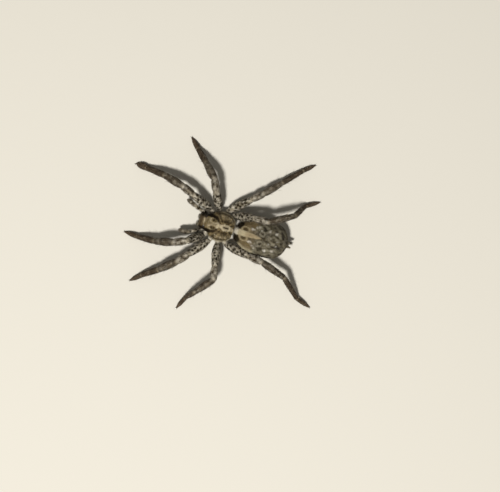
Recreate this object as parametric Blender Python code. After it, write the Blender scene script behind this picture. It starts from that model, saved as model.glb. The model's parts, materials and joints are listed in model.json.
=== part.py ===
"""A wolf spider at life size, standing still on eight bent legs.

The body faces +X, its left side is +Y and the floor is z = 0. Every solid includes the depth of its hair.
The legs and palps are each modelled whole along a bent line and parted at their joints by thin cuts.
"""

import math

import bpy
from mathutils import Vector

MM = 0.001

# Driving dimensions, in millimetres unless a name says otherwise.
PROSOMA_LENGTH = 5.2
PROSOMA_WIDTH = 4.5
MARGIN_HEIGHT = 2.3  # the underside of the head shield above the floor
SHIELD_TOP = 4.1
BELLY_HEIGHT = 1.05  # the breastplate above the floor
ABDOMEN_LENGTH = 7.8
ABDOMEN_WIDTH = 5.45
ABDOMEN_HEIGHT = 4.3
ABDOMEN_TURN_DEG = 4  # the abdomen swings this far to the spider's right
HIP_HEIGHT = 1.67
CUT = 0.06  # the thin cut between two pieces
LEG_SIDES = 10
BODY_SIDES = 20

# Lengths of femur, patella, tibia, metatarsus and tarsus of each pair of legs.
LEG_LENGTHS = {
    1: (4.2, 2.0, 3.35, 3.35, 2.1),
    2: (4.05, 1.95, 3.1, 3.2, 2.05),
    3: (4.05, 1.9, 3.2, 3.75, 2.1),
    4: (4.5, 2.0, 3.9, 4.8, 2.3),
}
# Where each leg joins the breastplate and where its hip lies, as (forward, outward).
COXA_ROOTS = {1: (0.62, 0.72), 2: (0.08, 0.98), 3: (-0.58, 1.0), 4: (-1.22, 0.78)}
HIPS = {1: (1.38, 1.96), 2: (0.29, 2.39), 3: (-1.0, 2.47), 4: (-2.18, 2.2)}
# The pose of each leg in degrees: headings of femur, patella, tibia, metatarsus and tarsus,
# turned outward from straight ahead, then the lift of the femur and of patella and tibia together.
LEG_POSES = {
    "leg_1_left": (40, 25, 15, 4, -2, 56, -25),
    "leg_1_right": (21, 20, 13, 5, 6, 39, -16),
    "leg_2_left": (53, 51, 42, 36, 43, 28, -9),
    "leg_2_right": (62, 65, 44, 42, 43, 54, -23),
    "leg_3_left": (103, 102, 52, 49, 67, 33, 5),
    "leg_3_right": (136, 136, 131, 131, 136, 18, -8),
    "leg_4_left": (171, 175, 163, 140, 163, 29, 4),
    "leg_4_right": (172, 177, 148, 119, 146, 49, 3),
}
SHIN_ARCH_DEG = 6  # patella and tibia bend this far each way from their common lift
TARSUS_DIP_DEG = 20
TIP_HEIGHT = 0.12  # the leg's centre line ends this far above the floor

# Radii along each leg segment: at its start, its thickest and its end, and where it is thickest.
LEG_RADII = {
    "coxa": (0.29, 0.43, 0.40, 0.6),
    "femur": (0.42, 0.68, 0.46, 0.40),
    "patella": (0.46, 0.56, 0.46, 0.50),
    "tibia": (0.46, 0.54, 0.40, 0.35),
    "metatarsus": (0.40, 0.41, 0.32, 0.25),
    "tarsus": (0.31, 0.32, 0.24, 0.45),
}
# The front two pairs have stouter shins, and brushes of hair under broad feet.
FRONT_RADII = {
    **LEG_RADII,
    "femur": (0.42, 0.69, 0.48, 0.42),
    "patella": (0.48, 0.59, 0.50, 0.50),
    "tibia": (0.50, 0.60, 0.46, 0.40),
    "metatarsus": (0.46, 0.47, 0.38, 0.30),
    "tarsus": (0.38, 0.37, 0.24, 0.30),
}
LEG_DEPTH = 1.06  # a leg is a little deeper than it is wide
# Each palp's segments: length, lift, then radii at start, thickest and end.
PALP_SEGMENTS = (
    (1.4, 40, 0.27, 0.32, 0.29),
    (0.8, 6, 0.29, 0.35, 0.31),
    (0.8, -30, 0.31, 0.37, 0.33),
    (1.2, -52, 0.33, 0.37, 0.26),
)
PALP_HEADINGS = {"palp_left": (37, 30, 12, -2), "palp_right": (18, 17, 21, 21)}
PALP_ROOT = (1.86, 1.15, 1.78)

# Eyes: forward, outward, height, radius. Front row of four small eyes, two large, two on the head's sides.
EYES = {
    "eye_front_inner": (2.53, 0.15, 3.10, 0.115),
    "eye_front_outer": (2.48, 0.41, 3.07, 0.10),
    "eye_large": (2.43, 0.33, 3.52, 0.23),
    "eye_side": (1.66, 0.72, 3.86, 0.20),
}

COLOURS = {
    "shield": (0.20, 0.135, 0.075),
    "abdomen": (0.19, 0.165, 0.13),
    "leg": (0.25, 0.20, 0.13),
    "foot": (0.075, 0.055, 0.042),
    "underside": (0.15, 0.115, 0.08),
    "jaw": (0.055, 0.033, 0.022),
    "fang": (0.03, 0.012, 0.008),
    "eye": (0.008, 0.007, 0.007),
}
ROUGHNESS = {"eye": 0.12, "fang": 0.3, "jaw": 0.5}
SIDES = {"left": 1, "right": -1}

made = []


def material(name):
    """The Principled material of that name, made on first use."""
    found = bpy.data.materials.get(name)
    if found:
        return found
    found = bpy.data.materials.new(name)
    found.use_nodes = True
    shader = found.node_tree.nodes["Principled BSDF"]
    shader.inputs["Base Color"].default_value = (*COLOURS[name], 1.0)
    shader.inputs["Roughness"].default_value = ROUGHNESS.get(name, 0.75)
    return found


def add_solid(name, rings, finish, origin=Vector()):
    """One closed solid through the rings, in millimetres, capped by a fan at each end."""
    count = len(rings[0])
    points = [p for ring in rings for p in ring]
    points += [sum(ring, Vector()) / count for ring in (rings[0], rings[-1])]
    faces = []
    for start in range(0, (len(rings) - 1) * count, count):
        for i in range(count):
            j = (i + 1) % count
            faces.append((start + i, start + j, start + count + j, start + count + i))
    last = (len(rings) - 1) * count
    for i in range(count):
        j = (i + 1) % count
        faces.append((len(points) - 2, j, i))
        faces.append((len(points) - 1, last + i, last + j))
    mesh = bpy.data.meshes.new(name)
    mesh.from_pydata([(p - origin) * MM for p in points], [], faces)
    mesh.shade_smooth()
    mesh.materials.append(material(finish))
    solid = bpy.data.objects.new(name, mesh)
    solid.location = origin * MM
    bpy.context.scene.collection.objects.link(solid)
    made.append(solid)
    return solid


def direction(heading_deg, lift_deg):
    """The unit vector that far to the left of straight ahead and that far above level."""
    heading, lift = math.radians(heading_deg), math.radians(lift_deg)
    return Vector(
        (math.cos(heading) * math.cos(lift), math.sin(heading) * math.cos(lift), math.sin(lift))
    )


def swelling(share, start, widest, end, peak):
    """The radius at a share of a segment's length: it swells smoothly from both ends to its peak."""
    near = start if share < peak else end
    run = share / peak if share < peak else (1 - share) / (1 - peak)
    return near + (widest - near) * math.sin(run * math.pi / 2) ** 1.3


def ring_round(centre, along, radius, depth=1.0, sides=LEG_SIDES):
    """A ring of points about centre, square to the direction along, deeper than wide by depth."""
    across = Vector((0, 0, 1)).cross(along).normalized()
    upward = along.cross(across).normalized()
    turns = [2 * math.pi * i / sides for i in range(sides)]
    return [
        centre + across * radius * math.cos(a) + upward * radius * depth * math.sin(a) for a in turns
    ]


def tube_rings(joints, radii, shares, before=None, after=None):
    """Rings along straight segments. Where two segments meet, the ring halves the angle between them.

    before and after are the directions that the limb comes from and goes on to, past these joints.
    """
    ways = [(b - a).normalized() for a, b in zip(joints, joints[1:])]
    first = (before or ways[0]) + ways[0]
    last = (after or ways[-1]) + ways[-1]
    planes = [first.normalized()]
    planes += [(a + b).normalized() for a, b in zip(ways, ways[1:])]
    planes.append(last.normalized())
    rings = []
    for i, way in enumerate(ways):
        for share in shares[i]:
            if share == 1 and i < len(ways) - 1:
                continue
            plane = planes[i] if share == 0 else planes[i + 1] if share == 1 else way
            centre = joints[i].lerp(joints[i + 1], share)
            if share == 0 and i == 0:
                centre = centre + way * CUT / 2
            if share == 1:
                centre = centre - way * CUT / 2
            rings.append(ring_round(centre, plane, swelling(share, *radii[i]), LEG_DEPTH))
    return rings


def press_on_floor(rings):
    """Points under the floor are moved up to it, which leaves a small flat."""
    return [[Vector((p.x, p.y, max(p.z, 0.0))) for p in ring] for ring in rings]


def make_leg(name, number, side):
    """Coxa, femur, shin (patella and tibia) and foot (metatarsus and tarsus) of one leg."""
    *headings, femur_lift, shin_lift = LEG_POSES[name]
    headings = [h * side for h in headings]
    lengths = LEG_LENGTHS[number]
    root = Vector((COXA_ROOTS[number][0], COXA_ROOTS[number][1] * side, HIP_HEIGHT))
    hip = Vector((HIPS[number][0], HIPS[number][1] * side, HIP_HEIGHT))
    knee = hip + direction(headings[0], femur_lift) * lengths[0]
    mid_shin = knee + direction(headings[1], shin_lift + SHIN_ARCH_DEG) * lengths[1]
    ankle = mid_shin + direction(headings[2], shin_lift - SHIN_ARCH_DEG) * lengths[2]
    tarsus = direction(headings[4], -TARSUS_DIP_DEG) * lengths[4]
    # The metatarsus falls just far enough for the tarsus to end at the floor.
    drop = ankle.z + tarsus.z - TIP_HEIGHT
    heel = ankle + direction(headings[3], -math.degrees(math.asin(drop / lengths[3]))) * lengths[3]
    tip = heel + tarsus

    coxa_way, femur_way, shin_way = hip - root, knee - hip, mid_shin - knee
    shin_end_way, foot_way = ankle - mid_shin, heel - ankle
    ways = [w.normalized() for w in (coxa_way, femur_way, shin_way, shin_end_way, foot_way)]
    radii = FRONT_RADII if number < 3 else LEG_RADII
    pieces = {
        "coxa": ([root, hip], [radii["coxa"]], [(0, 0.3, 0.6, 1)], None, ways[1]),
        "femur": ([hip, knee], [radii["femur"]], [(0, 0.16, 0.32, 0.5, 0.7, 0.87, 1)], ways[0], ways[2]),
        "shin": (
            [knee, mid_shin, ankle],
            [radii["patella"], radii["tibia"]],
            [(0, 0.3, 0.65), (0, 0.18, 0.4, 0.62, 0.85, 1)],
            ways[1],
            ways[4],
        ),
        "foot": (
            [ankle, heel, tip],
            [radii["metatarsus"], radii["tarsus"]],
            [(0, 0.15, 0.4, 0.7, 0.88), (0, 0.2, 0.55, 0.85, 1)],
            ways[3],
            None,
        ),
    }
    for piece, (joints, widths, shares, before, after) in pieces.items():
        rings = tube_rings(joints, widths, shares, before, after)
        if piece == "foot":
            rings = press_on_floor(rings)
        finish = "foot" if piece == "foot" else "leg"
        add_solid(f"{name}_{piece}", rings, finish, joints[0])


def make_palp(name, side):
    """A feeler beside the jaws: its arm (femur and patella) and its tip (tibia and tarsus)."""
    joints = [Vector((PALP_ROOT[0], PALP_ROOT[1] * side, PALP_ROOT[2]))]
    ways, radii = [], []
    for heading, (length, lift, start, widest, end) in zip(PALP_HEADINGS[name], PALP_SEGMENTS):
        ways.append(direction(heading * side, lift))
        joints.append(joints[-1] + ways[-1] * length)
        radii.append((start, widest, end, 0.5))
    arm_shares = [(0, 0.25, 0.5, 0.78), (0, 0.35, 0.7, 1)]
    tip_shares = [(0, 0.35, 0.7), (0, 0.25, 0.5, 0.8, 1)]
    arm = tube_rings(joints[:3], radii[:2], arm_shares, None, ways[2])
    tip = tube_rings(joints[2:], radii[2:], tip_shares, ways[1], None)
    add_solid(f"{name}_arm", arm, "leg", joints[0])
    add_solid(f"{name}_tip", tip, "foot", joints[2])


def blend(x, table):
    """The value at x in a table of (x, value) rows, eased between rows."""
    for (x0, low), (x1, high) in zip(table, table[1:]):
        if x <= x1:
            share = (x - x0) / (x1 - x0)
            return low + (high - low) * (share * share * (3 - 2 * share))
    return table[-1][1]


# The head shield from its rear edge (0) to the face (1): share of the full width and height.
SHIELD_WIDTH = (
    (0, 0.50),
    (0.05, 0.70),
    (0.14, 0.87),
    (0.28, 0.98),
    (0.43, 1.0),
    (0.6, 0.88),
    (0.76, 0.60),
    (0.86, 0.53),
    (0.97, 0.50),
    (1, 0.44),
)
SHIELD_RISE = ((0, 0.28), (0.12, 0.62), (0.28, 0.88), (0.45, 0.97), (0.7, 1.0), (0.95, 0.98), (1, 0.9))
SHIELD_LIFT = ((0, 0.24), (0.15, 0.05), (0.35, 0.0), (0.65, 0.08), (0.82, 0.44), (1, 0.44))
SHIELD_STATIONS = (0, 0.03, 0.08, 0.15, 0.25, 0.36, 0.47, 0.58, 0.66, 0.73, 0.8, 0.87, 0.94, 0.98, 1)


def shield_section(share):
    """One cross-section of the head shield: a flat underside and a roof that is steeper on the head."""
    x = (share - 0.5) * PROSOMA_LENGTH
    half = blend(share, SHIELD_WIDTH) * PROSOMA_WIDTH / 2
    low = MARGIN_HEIGHT + blend(share, SHIELD_LIFT)
    high = MARGIN_HEIGHT + blend(share, SHIELD_RISE) * (SHIELD_TOP - MARGIN_HEIGHT)
    boxy = blend(share, ((0, 0.95), (0.5, 0.9), (0.8, 0.62), (1, 0.6)))
    steps = 16
    ring = []
    for i in range(steps + 1):
        a = math.pi * i / steps
        across = math.copysign(abs(math.cos(a)) ** boxy, math.cos(a))
        ring.append(Vector((x, half * across, low + (high - low) * math.sin(a) ** boxy)))
    return ring


def make_eyes(shield):
    """Eight eyes as balls, each in a socket cut from the head shield."""
    for kind, (forward, outward, height, radius) in EYES.items():
        for side_name, side in SIDES.items():
            centre = Vector((forward, outward * side, height)) * MM
            for role, size in (("eye", radius), ("socket", radius + CUT / 2)):
                bpy.ops.mesh.primitive_uv_sphere_add(
                    segments=10, ring_count=7, radius=size * MM, location=centre
                )
                ball = bpy.context.object
                ball.data.shade_smooth()
                if role == "eye":
                    ball.name = f"{kind}_{side_name}"
                    ball.data.materials.append(material("eye"))
                    made.append(ball)
                    continue
                ball.name = f"socket_{kind}_{side_name}"
                ball.hide_render = True
                ball.display_type = "WIRE"
                cut = shield.modifiers.new(ball.name, "BOOLEAN")
                cut.operation = "DIFFERENCE"
                cut.solver = "EXACT"
                cut.object = ball


def make_breastplate():
    """The shield-shaped plate between the legs, with the core of the body above it."""
    centre_x, half_length, half_width = -0.32, 1.32, 0.98
    levels = ((0, 0.62), (0.08, 0.86), (0.25, 0.92), (0.8, 0.92), (1, 0.8))
    top = MARGIN_HEIGHT - CUT
    rings = []
    for share, scale in reversed(levels):
        z = BELLY_HEIGHT + (top - BELLY_HEIGHT) * share
        ring = []
        for i in range(16):
            a = 2 * math.pi * i / 16
            narrow = 1 - 0.16 * math.sin(a / 2) ** 2  # it narrows towards the rear
            ring.append(
                Vector(
                    (
                        centre_x + half_length * scale * math.cos(a),
                        -half_width * scale * narrow * math.sin(a),
                        z,
                    )
                )
            )
        rings.append(ring)
    add_solid("sternum", rings, "underside")


def upright_rings(levels, sides=12):
    """Rings square to +Z from rows of (height, forward, outward, half depth, half width), top first."""
    rings = []
    for z, x, y, depth, width in levels:
        turns = [-2 * math.pi * (i + 0.5) / sides for i in range(sides)]
        rings.append([Vector((x + depth * math.cos(a), y + width * math.sin(a), z)) for a in turns])
    return rings


def make_jaws(side_name, side):
    """One chelicera hanging from the face, its folded fang, and the maxilla behind it."""
    brow = MARGIN_HEIGHT + 0.44 - CUT
    jaw = (
        (brow, 2.32, 0.50, 0.38, 0.36),
        (brow - 0.18, 2.36, 0.51, 0.44, 0.45),
        (brow - 0.6, 2.39, 0.51, 0.46, 0.46),
        (brow - 1.05, 2.37, 0.51, 0.42, 0.43),
        (brow - 1.38, 2.34, 0.47, 0.32, 0.34),
        (brow - 1.5, 2.32, 0.44, 0.22, 0.24),
    )
    rows = [(z, x, y * side, depth, width) for z, x, y, depth, width in jaw]
    add_solid(f"chelicera_{side_name}", upright_rings(rows), "jaw")

    # The fang crosses under the jaw from its outer corner towards the middle.
    root = Vector((2.34, 0.62 * side, brow - 1.69))
    tip = Vector((2.2, 0.14 * side, brow - 1.85))
    rings = tube_rings([root, tip], [(0.13, 0.13, 0.06, 0.3)], [(0, 0.35, 0.7, 1)])
    add_solid(f"fang_{side_name}", press_on_floor(rings), "fang", root)

    maxilla = (
        (2.45, 1.40, 0.60, 0.26, 0.24),
        (2.0, 1.42, 0.62, 0.36, 0.29),
        (1.62, 1.44, 0.62, 0.40, 0.31),
        (1.30, 1.42, 0.60, 0.40, 0.30),
        (1.12, 1.42, 0.58, 0.28, 0.20),
    )
    rows = [(z, x, y * side, depth, width) for z, x, y, depth, width in maxilla]
    add_solid(f"maxilla_{side_name}", upright_rings(rows, 10), "underside")


def make_labium():
    """The small lip between the maxillae."""
    rows = ((1.7, 1.32, 0, 0.20, 0.18), (1.4, 1.32, 0, 0.26, 0.22), (1.16, 1.32, 0, 0.20, 0.16))
    add_solid("labium", upright_rings(rows, 8), "underside")


def abdomen_line(share):
    """The centre of the abdomen at a share of its length, front to rear."""
    back = direction(180 + ABDOMEN_TURN_DEG, 0)
    level = 2.45 + 0.4 * math.sin(math.pi * min(share * 1.15, 1) ** 0.9) - 0.12 * share
    return Vector((-2.8, 0, 0)) + back * ABDOMEN_LENGTH * share + Vector((0, 0, level))


def abdomen_girth(share):
    """Share of the full girth: egg-shaped, fullest behind the middle."""
    shifted = min(max(share, 0.0), 1.0) ** 1.22
    bluntness = 2.3 if shifted < 0.5 else 2.9
    return max(1 - abs(2 * shifted - 1) ** bluntness, 0.0) ** (1 / 2.1)


def make_abdomen():
    """The egg-shaped abdomen, flatter underneath, and the narrow waist in front of it."""
    count = 16
    back = direction(180 + ABDOMEN_TURN_DEG, 0)
    across = Vector((0, 0, 1)).cross(back)
    rings = []
    for i in range(count + 1):
        share = 0.006 + 0.988 * (1 - math.cos(math.pi * i / count)) / 2
        girth = abdomen_girth(share)
        ring = []
        for j in range(BODY_SIDES):
            a = 2 * math.pi * j / BODY_SIDES
            rise = math.sin(a) * (1.0 if math.sin(a) > 0 else 0.9)
            ring.append(
                abdomen_line(share)
                + across * math.cos(a) * girth * ABDOMEN_WIDTH / 2
                + Vector((0, 0, rise * girth * ABDOMEN_HEIGHT / 2))
            )
        rings.append(ring)
    add_solid("abdomen", rings, "abdomen")
    waist = [Vector((-1.58, 0, 1.86)), Vector((-2.84, 0, 2.2))]
    add_solid(
        "pedicel", tube_rings(waist, [(0.3, 0.3, 0.3, 0.5)], [(0, 0.5, 1)]), "underside", waist[0]
    )


def make_spinnerets(side_name, side):
    """The upper and lower silk spinners of one side, at the abdomen's rear end."""
    rear = abdomen_line(1.0)
    for level, height, out in (("upper", 0.1, 0.24), ("lower", -0.38, 0.26)):
        root = rear + direction(180 + ABDOMEN_TURN_DEG, 0) * 0.06 + Vector((0, out * side, height))
        way = direction(180 + ABDOMEN_TURN_DEG - 8 * side, -14)
        rings = tube_rings([root, root + way * 0.62], [(0.22, 0.22, 0.12, 0.3)], [(0, 0.35, 0.75, 1)])
        add_solid(f"spinneret_{level}_{side_name}", rings, "underside", root)


def stand_over_origin():
    """Hang every piece on one empty, placed so that the origin is under the middle of the whole."""
    bpy.context.view_layer.update()
    corners = [piece.matrix_world @ v.co for piece in made for v in piece.data.vertices]
    middle = [(min(c[i] for c in corners) + max(c[i] for c in corners)) / 2 for i in (0, 1)]
    stance = bpy.data.objects.new("stance", None)
    bpy.context.scene.collection.objects.link(stance)
    for piece in bpy.context.scene.objects:
        if piece is not stance:
            piece.parent = stance
    stance.location = (-middle[0], -middle[1], 0)


def main():
    for old in list(bpy.data.objects):
        bpy.data.objects.remove(old)
    shield = add_solid("carapace", [shield_section(s) for s in SHIELD_STATIONS], "shield")
    make_eyes(shield)
    make_breastplate()
    make_labium()
    make_abdomen()
    for side_name, side in SIDES.items():
        make_jaws(side_name, side)
        make_palp(f"palp_{side_name}", side)
        make_spinnerets(side_name, side)
        for number in LEG_LENGTHS:
            make_leg(f"leg_{number}_{side_name}", number, side)
    stand_over_origin()


main()
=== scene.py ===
"""A wolf spider at life size, dressed over its solids: head shield, eyes, jaws, skin, bristles and fur.

Lengths are millimetres unless a name says otherwise, and turn to metres where a mesh is made.
The body faces +X, its left side is +Y and it stands on z = 0.
"""

import json
import math

import bmesh
import bpy
import numpy as np
from mathutils import Matrix, Vector

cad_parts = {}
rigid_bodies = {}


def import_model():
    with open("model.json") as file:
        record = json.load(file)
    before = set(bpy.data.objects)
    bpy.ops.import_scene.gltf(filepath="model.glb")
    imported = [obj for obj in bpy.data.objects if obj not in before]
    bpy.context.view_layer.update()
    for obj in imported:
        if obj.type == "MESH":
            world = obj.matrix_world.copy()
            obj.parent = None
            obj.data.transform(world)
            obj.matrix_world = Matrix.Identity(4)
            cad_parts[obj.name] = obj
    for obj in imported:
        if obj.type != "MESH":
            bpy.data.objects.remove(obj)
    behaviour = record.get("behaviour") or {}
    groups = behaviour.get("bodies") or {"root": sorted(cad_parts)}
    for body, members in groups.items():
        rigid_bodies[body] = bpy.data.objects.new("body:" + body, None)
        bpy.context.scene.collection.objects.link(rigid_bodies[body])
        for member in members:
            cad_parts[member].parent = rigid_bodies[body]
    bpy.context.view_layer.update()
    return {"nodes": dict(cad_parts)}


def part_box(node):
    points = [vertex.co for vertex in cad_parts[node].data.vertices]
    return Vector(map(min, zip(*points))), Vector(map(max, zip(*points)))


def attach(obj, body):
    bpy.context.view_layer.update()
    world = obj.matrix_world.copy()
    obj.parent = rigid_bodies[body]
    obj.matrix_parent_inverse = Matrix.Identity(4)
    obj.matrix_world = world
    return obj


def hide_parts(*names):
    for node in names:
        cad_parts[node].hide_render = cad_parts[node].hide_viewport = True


for old in list(bpy.data.objects):
    bpy.data.objects.remove(old)
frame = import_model()
MM = 0.001
SIDES = {"left": 1, "right": -1}


# ---------------------------------------------------------------- floor, light and view
# A plain pale floor, one soft lamp high above the spider's left side, and a pale room round it.
# The camera looks straight down from far up, and the spider walks off to the left of the picture.
SIDE_EYE_FORWARD = 1.66  # the two side eyes lie this far in front of the body's own zero
VIEW_CENTRE = (-5.64, 1.33)  # forward and left of the body's zero
VIEW_WIDTH = 72.5  # across the picture at the height of the back
BACK_HEIGHT = 2.5
PICTURE_TURN_DEG = 198.4
LENS, SENSOR = 100, 36
FLOOR_SIZE = 900
FLOOR_COLOUR, ROOM_COLOUR = "#b9b4a8", "#efede8"
ROOM_STRENGTH = 0.28
LAMP_DISTANCE, LAMP_SIZE, LAMP_WATTS = 420, 50, 2.7
LAMP_HEIGHT_DEG, LAMP_HEADING_DEG = 71, 81


def linear(hex_colour):
    """An sRGB hex colour as linear red, green, blue and alpha."""
    shares = [int(hex_colour[i : i + 2], 16) / 255 for i in (1, 3, 5)]
    return [c / 12.92 if c <= 0.04045 else ((c + 0.055) / 1.055) ** 2.4 for c in shares] + [1.0]


def add_node(tree, kind, inputs=(), **settings):
    """Adds a node with its settings. Each input takes a value, or a link from the socket given for it."""
    node = tree.nodes.new(kind)
    for key, value in settings.items():
        setattr(node, key, value)
    for key, value in dict(inputs).items():
        if isinstance(value, bpy.types.NodeSocket):
            tree.links.new(value, node.inputs[key])
        else:
            node.inputs[key].default_value = value
    return node


def new_material(name, **values):
    """A material by that name, its tree and its shader, with the shader's own values set."""
    made = bpy.data.materials.new(name)
    made.use_nodes = True
    shader = made.node_tree.nodes["Principled BSDF"]
    for key, value in values.items():
        shader.inputs[key.replace("_", " ")].default_value = value
    return made, made.node_tree, shader


def add_object(name, mesh, material=None):
    """The mesh as an object of the scene, in that material if one is given."""
    if material:
        mesh.materials.append(material)
    made = bpy.data.objects.new(name, mesh)
    bpy.context.scene.collection.objects.link(made)
    return made


eye_corners = [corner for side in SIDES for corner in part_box(f"eye_side_{side}")]
zero = np.array(sum(eye_corners, Vector()) / len(eye_corners)) / MM - (SIDE_EYE_FORWARD, 0, 0)
zero[2] = 0

floor_mesh = bpy.data.meshes.new("floor")
half_floor = FLOOR_SIZE * MM / 2
corners = [(x * half_floor, y * half_floor, 0) for x, y in ((-1, -1), (1, -1), (1, 1), (-1, 1))]
floor_mesh.from_pydata(corners, [], [(0, 1, 2, 3)])
# Matt painted board: an even pale tone with no gloss to speak of.
board, tree, shader = new_material("painted_board", Roughness=0.9)
shader.inputs["Base Color"].default_value = linear(FLOOR_COLOUR)
add_object("floor", floor_mesh, board)

world = bpy.data.worlds.new("room")
world.use_nodes = True
room = world.node_tree.nodes["Background"]
room.inputs["Color"].default_value = linear(ROOM_COLOUR)
room.inputs["Strength"].default_value = ROOM_STRENGTH
bpy.context.scene.world = world
bpy.context.scene.view_settings.view_transform = "Standard"

lamp_data = bpy.data.lights.new("lamp", "AREA")
lamp_data.shape = "DISK"
lamp_data.size = LAMP_SIZE * MM
lamp_data.energy = LAMP_WATTS
lamp = bpy.data.objects.new("lamp", lamp_data)
bpy.context.scene.collection.objects.link(lamp)
height, heading = math.radians(LAMP_HEIGHT_DEG), math.radians(LAMP_HEADING_DEG)
towards_lamp = Vector(
    (math.cos(heading) * math.cos(height), math.sin(heading) * math.cos(height), math.sin(height))
)
lamp.location = towards_lamp * LAMP_DISTANCE * MM
lamp.rotation_euler = towards_lamp.to_track_quat("Z", "Y").to_euler()

camera_data = bpy.data.cameras.new("camera")
camera_data.lens = LENS
camera_data.sensor_width = SENSOR
camera_data.clip_start, camera_data.clip_end = 0.01, 10
camera = bpy.data.objects.new("camera", camera_data)
bpy.context.scene.collection.objects.link(camera)
camera.location = Vector(
    (zero[0] + VIEW_CENTRE[0], zero[1] + VIEW_CENTRE[1], BACK_HEIGHT + VIEW_WIDTH * LENS / SENSOR)
) * MM
camera.rotation_euler = (0, 0, math.radians(PICTURE_TURN_DEG))
bpy.context.scene.camera = camera


# ---------------------------------------------------------------- head shield
# The carapace is one hard plate of olive-brown cuticle over head and chest. The head stands up between two
# slanting grooves, a short slit marks where the sucking stomach's muscles are fixed, and faint grooves run
# from it to the legs. It is lofted ring by ring from its rear edge to the face, and closed underneath.
SHIELD_COAT = 0.05  # the hair that the solid includes
SHIELD_RINGS, FACE_RINGS, SHIELD_ARC, SHIELD_UNDER = 118, 15, 92, 22
FACE_SET_BACK, FACE_BULGE, FACE_TURN_DEG = 0.3, 0.18, 87  # the face is the rounded front end
ROOF_COLUMN = 40  # the column of points that the shield's length is measured along, near the top
# Shares of the full half width, and of the roof's and lower edge's height, from rear edge (0) to face (1).
SHIELD_WIDTH = ((0, 0.5), (0.05, 0.7), (0.14, 0.87), (0.28, 0.98), (0.43, 1), (0.6, 0.88), (0.76, 0.6))
SHIELD_WIDTH += ((0.86, 0.53), (0.97, 0.5), (1, 0.44))
SHIELD_ROOF = ((0, 0.28), (0.12, 0.62), (0.28, 0.88), (0.45, 0.97), (0.7, 1), (0.95, 0.98), (1, 0.9))
SHIELD_EDGE = ((0, 0.133), (0.15, 0.028), (0.35, 0), (0.65, 0.044), (0.82, 0.244), (1, 0.244))
SHIELD_BOXY = ((0, 0.95), (0.5, 0.9), (0.8, 0.62), (1, 0.6))
FOVEA = (-1.95, -1.1)  # where the slit starts and ends, forward of the body's zero
HEAD_GROOVE = ((-0.85, 0.02), (-0.4, 0.42), (0.2, 0.82), (0.9, 1.08), (1.7, 1.15), (2.6, 1.1))
CHEST_GROOVES_DEG = (52, 88, 121, 152)
FAN_FORWARD = -1.3  # the chest grooves fan out from here
HEAD_RISE, MARGIN_RIDGE = 0.045, 0.03
HEAD_GROOVE_DEPTH, CHEST_GROOVE_DEPTH, SLIT_DEPTH = 0.06, 0.03, 0.11
EYE_KINDS = ("front_inner", "front_outer", "large", "side")
SOCKET_RISE, SOCKET_REACH, SOCKET_SHADE = 0.3, 1.35, 1.25  # as shares of an eye's radius
LOOP_CENTRE, LOOP_HALF_SIZE = (0.36, 0.5), (0.6, 0.3)  # the two dark loops on the head
BROW_FORWARD = 1.74
PEBBLE_SIZE, PEBBLE_DEPTH = 0.055, 0.012
CUTICLE_SHEEN = "#c8ab80"
# Half width of the pale band along the middle: a wedge at the rear, two lips round the slit, then the head.
PALE_BAND = ((-2.6, 0.2), (-2.25, 0.3), (-1.85, 0.42), (-1.25, 0.47), (-0.6, 0.2), (-0.25, 0.4))
PALE_BAND += ((0.1, 0.74), (0.8, 0.84), (1.5, 0.82), (2.1, 0.66), (2.6, 0.5))
SHIELD_TONES = {
    "side": "#6c5f45",
    "warm": "#8a7753",
    "streak": "#251d12",
    "arc_and_slope_shade": "#130e08",
    "band": "#3f341f",
    "pale": "#ab9e82",
    "bar": "#1d160a",
    "edge": "#a89e84",
    "face": "#3c3224",
    "ochre": "#6e6144",
    "clypeus": "#776a51",
    "socket": "#120e0a",
}


def eased(x, rows):
    """The value at x in rows of (x, value), eased from row to row."""
    places, values = np.array(rows, float).T
    at = np.interp(x, places, np.arange(len(places)))
    row = np.clip(at.astype(int), 0, len(places) - 2)
    run = at - row
    return values[row] + (values[row + 1] - values[row]) * run * run * (3 - 2 * run)


def ramp(x, low, high):
    """0 below low, 1 above high, and an eased rise between."""
    run = np.clip((x - low) / (high - low), 0, 1)
    return run * run * (3 - 2 * run)


def bell(x, middle, width):
    """1 at the middle, falling off over the width on both sides."""
    return np.exp(-(((x - middle) / width) ** 2))


def mottle(points, size, seed):
    """Soft blotches of that size over the points, between about -1 and 1."""
    draw = np.random.default_rng(seed)
    waves = draw.normal(size=(3, 11))
    waves *= math.pi / size / np.linalg.norm(waves, axis=0) * draw.uniform(0.7, 1.5, 11)
    return np.sin(points @ waves + draw.uniform(0, 2 * math.pi, 11)).sum(-1) / 3.3


def blots(points, apart, seed):
    """Blots strewn at least that far apart: 1 at each one's middle, 0 at its edge and beyond."""
    draw = np.random.default_rng(seed)
    flat = points.reshape(-1, 3)
    left = flat[draw.permutation(len(flat))]
    middles = []
    while len(left):
        middles.append(left[0])
        left = left[np.linalg.norm(left - left[0], axis=1) > apart]
    reach = draw.uniform(0.55, 0.95, len(middles)) * apart
    away = np.linalg.norm(flat[:, None] - np.array(middles), axis=2) / reach
    return np.clip(1 - away.min(1), 0, 1).reshape(points.shape[:-1])


def painted(tones, base, *layers):
    """Linear colours over an array: the base tone, and over it each (tone, share of cover)."""
    shape = np.broadcast_shapes(*[np.shape(cover) for _, cover in layers])
    tone = np.broadcast_to(np.array(linear(tones[base])[:3]), (*shape, 3)).copy()
    for key, cover in layers:
        cover = np.clip(cover, 0, 1)[..., None]
        tone = tone * (1 - cover) + np.array(linear(tones[key])[:3]) * cover
    return tone


def fur_at(*values):
    """Fur from its length, its lift in degrees and its density, each one number or one for each point."""
    return np.stack(np.broadcast_arrays(*values), -1)


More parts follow.
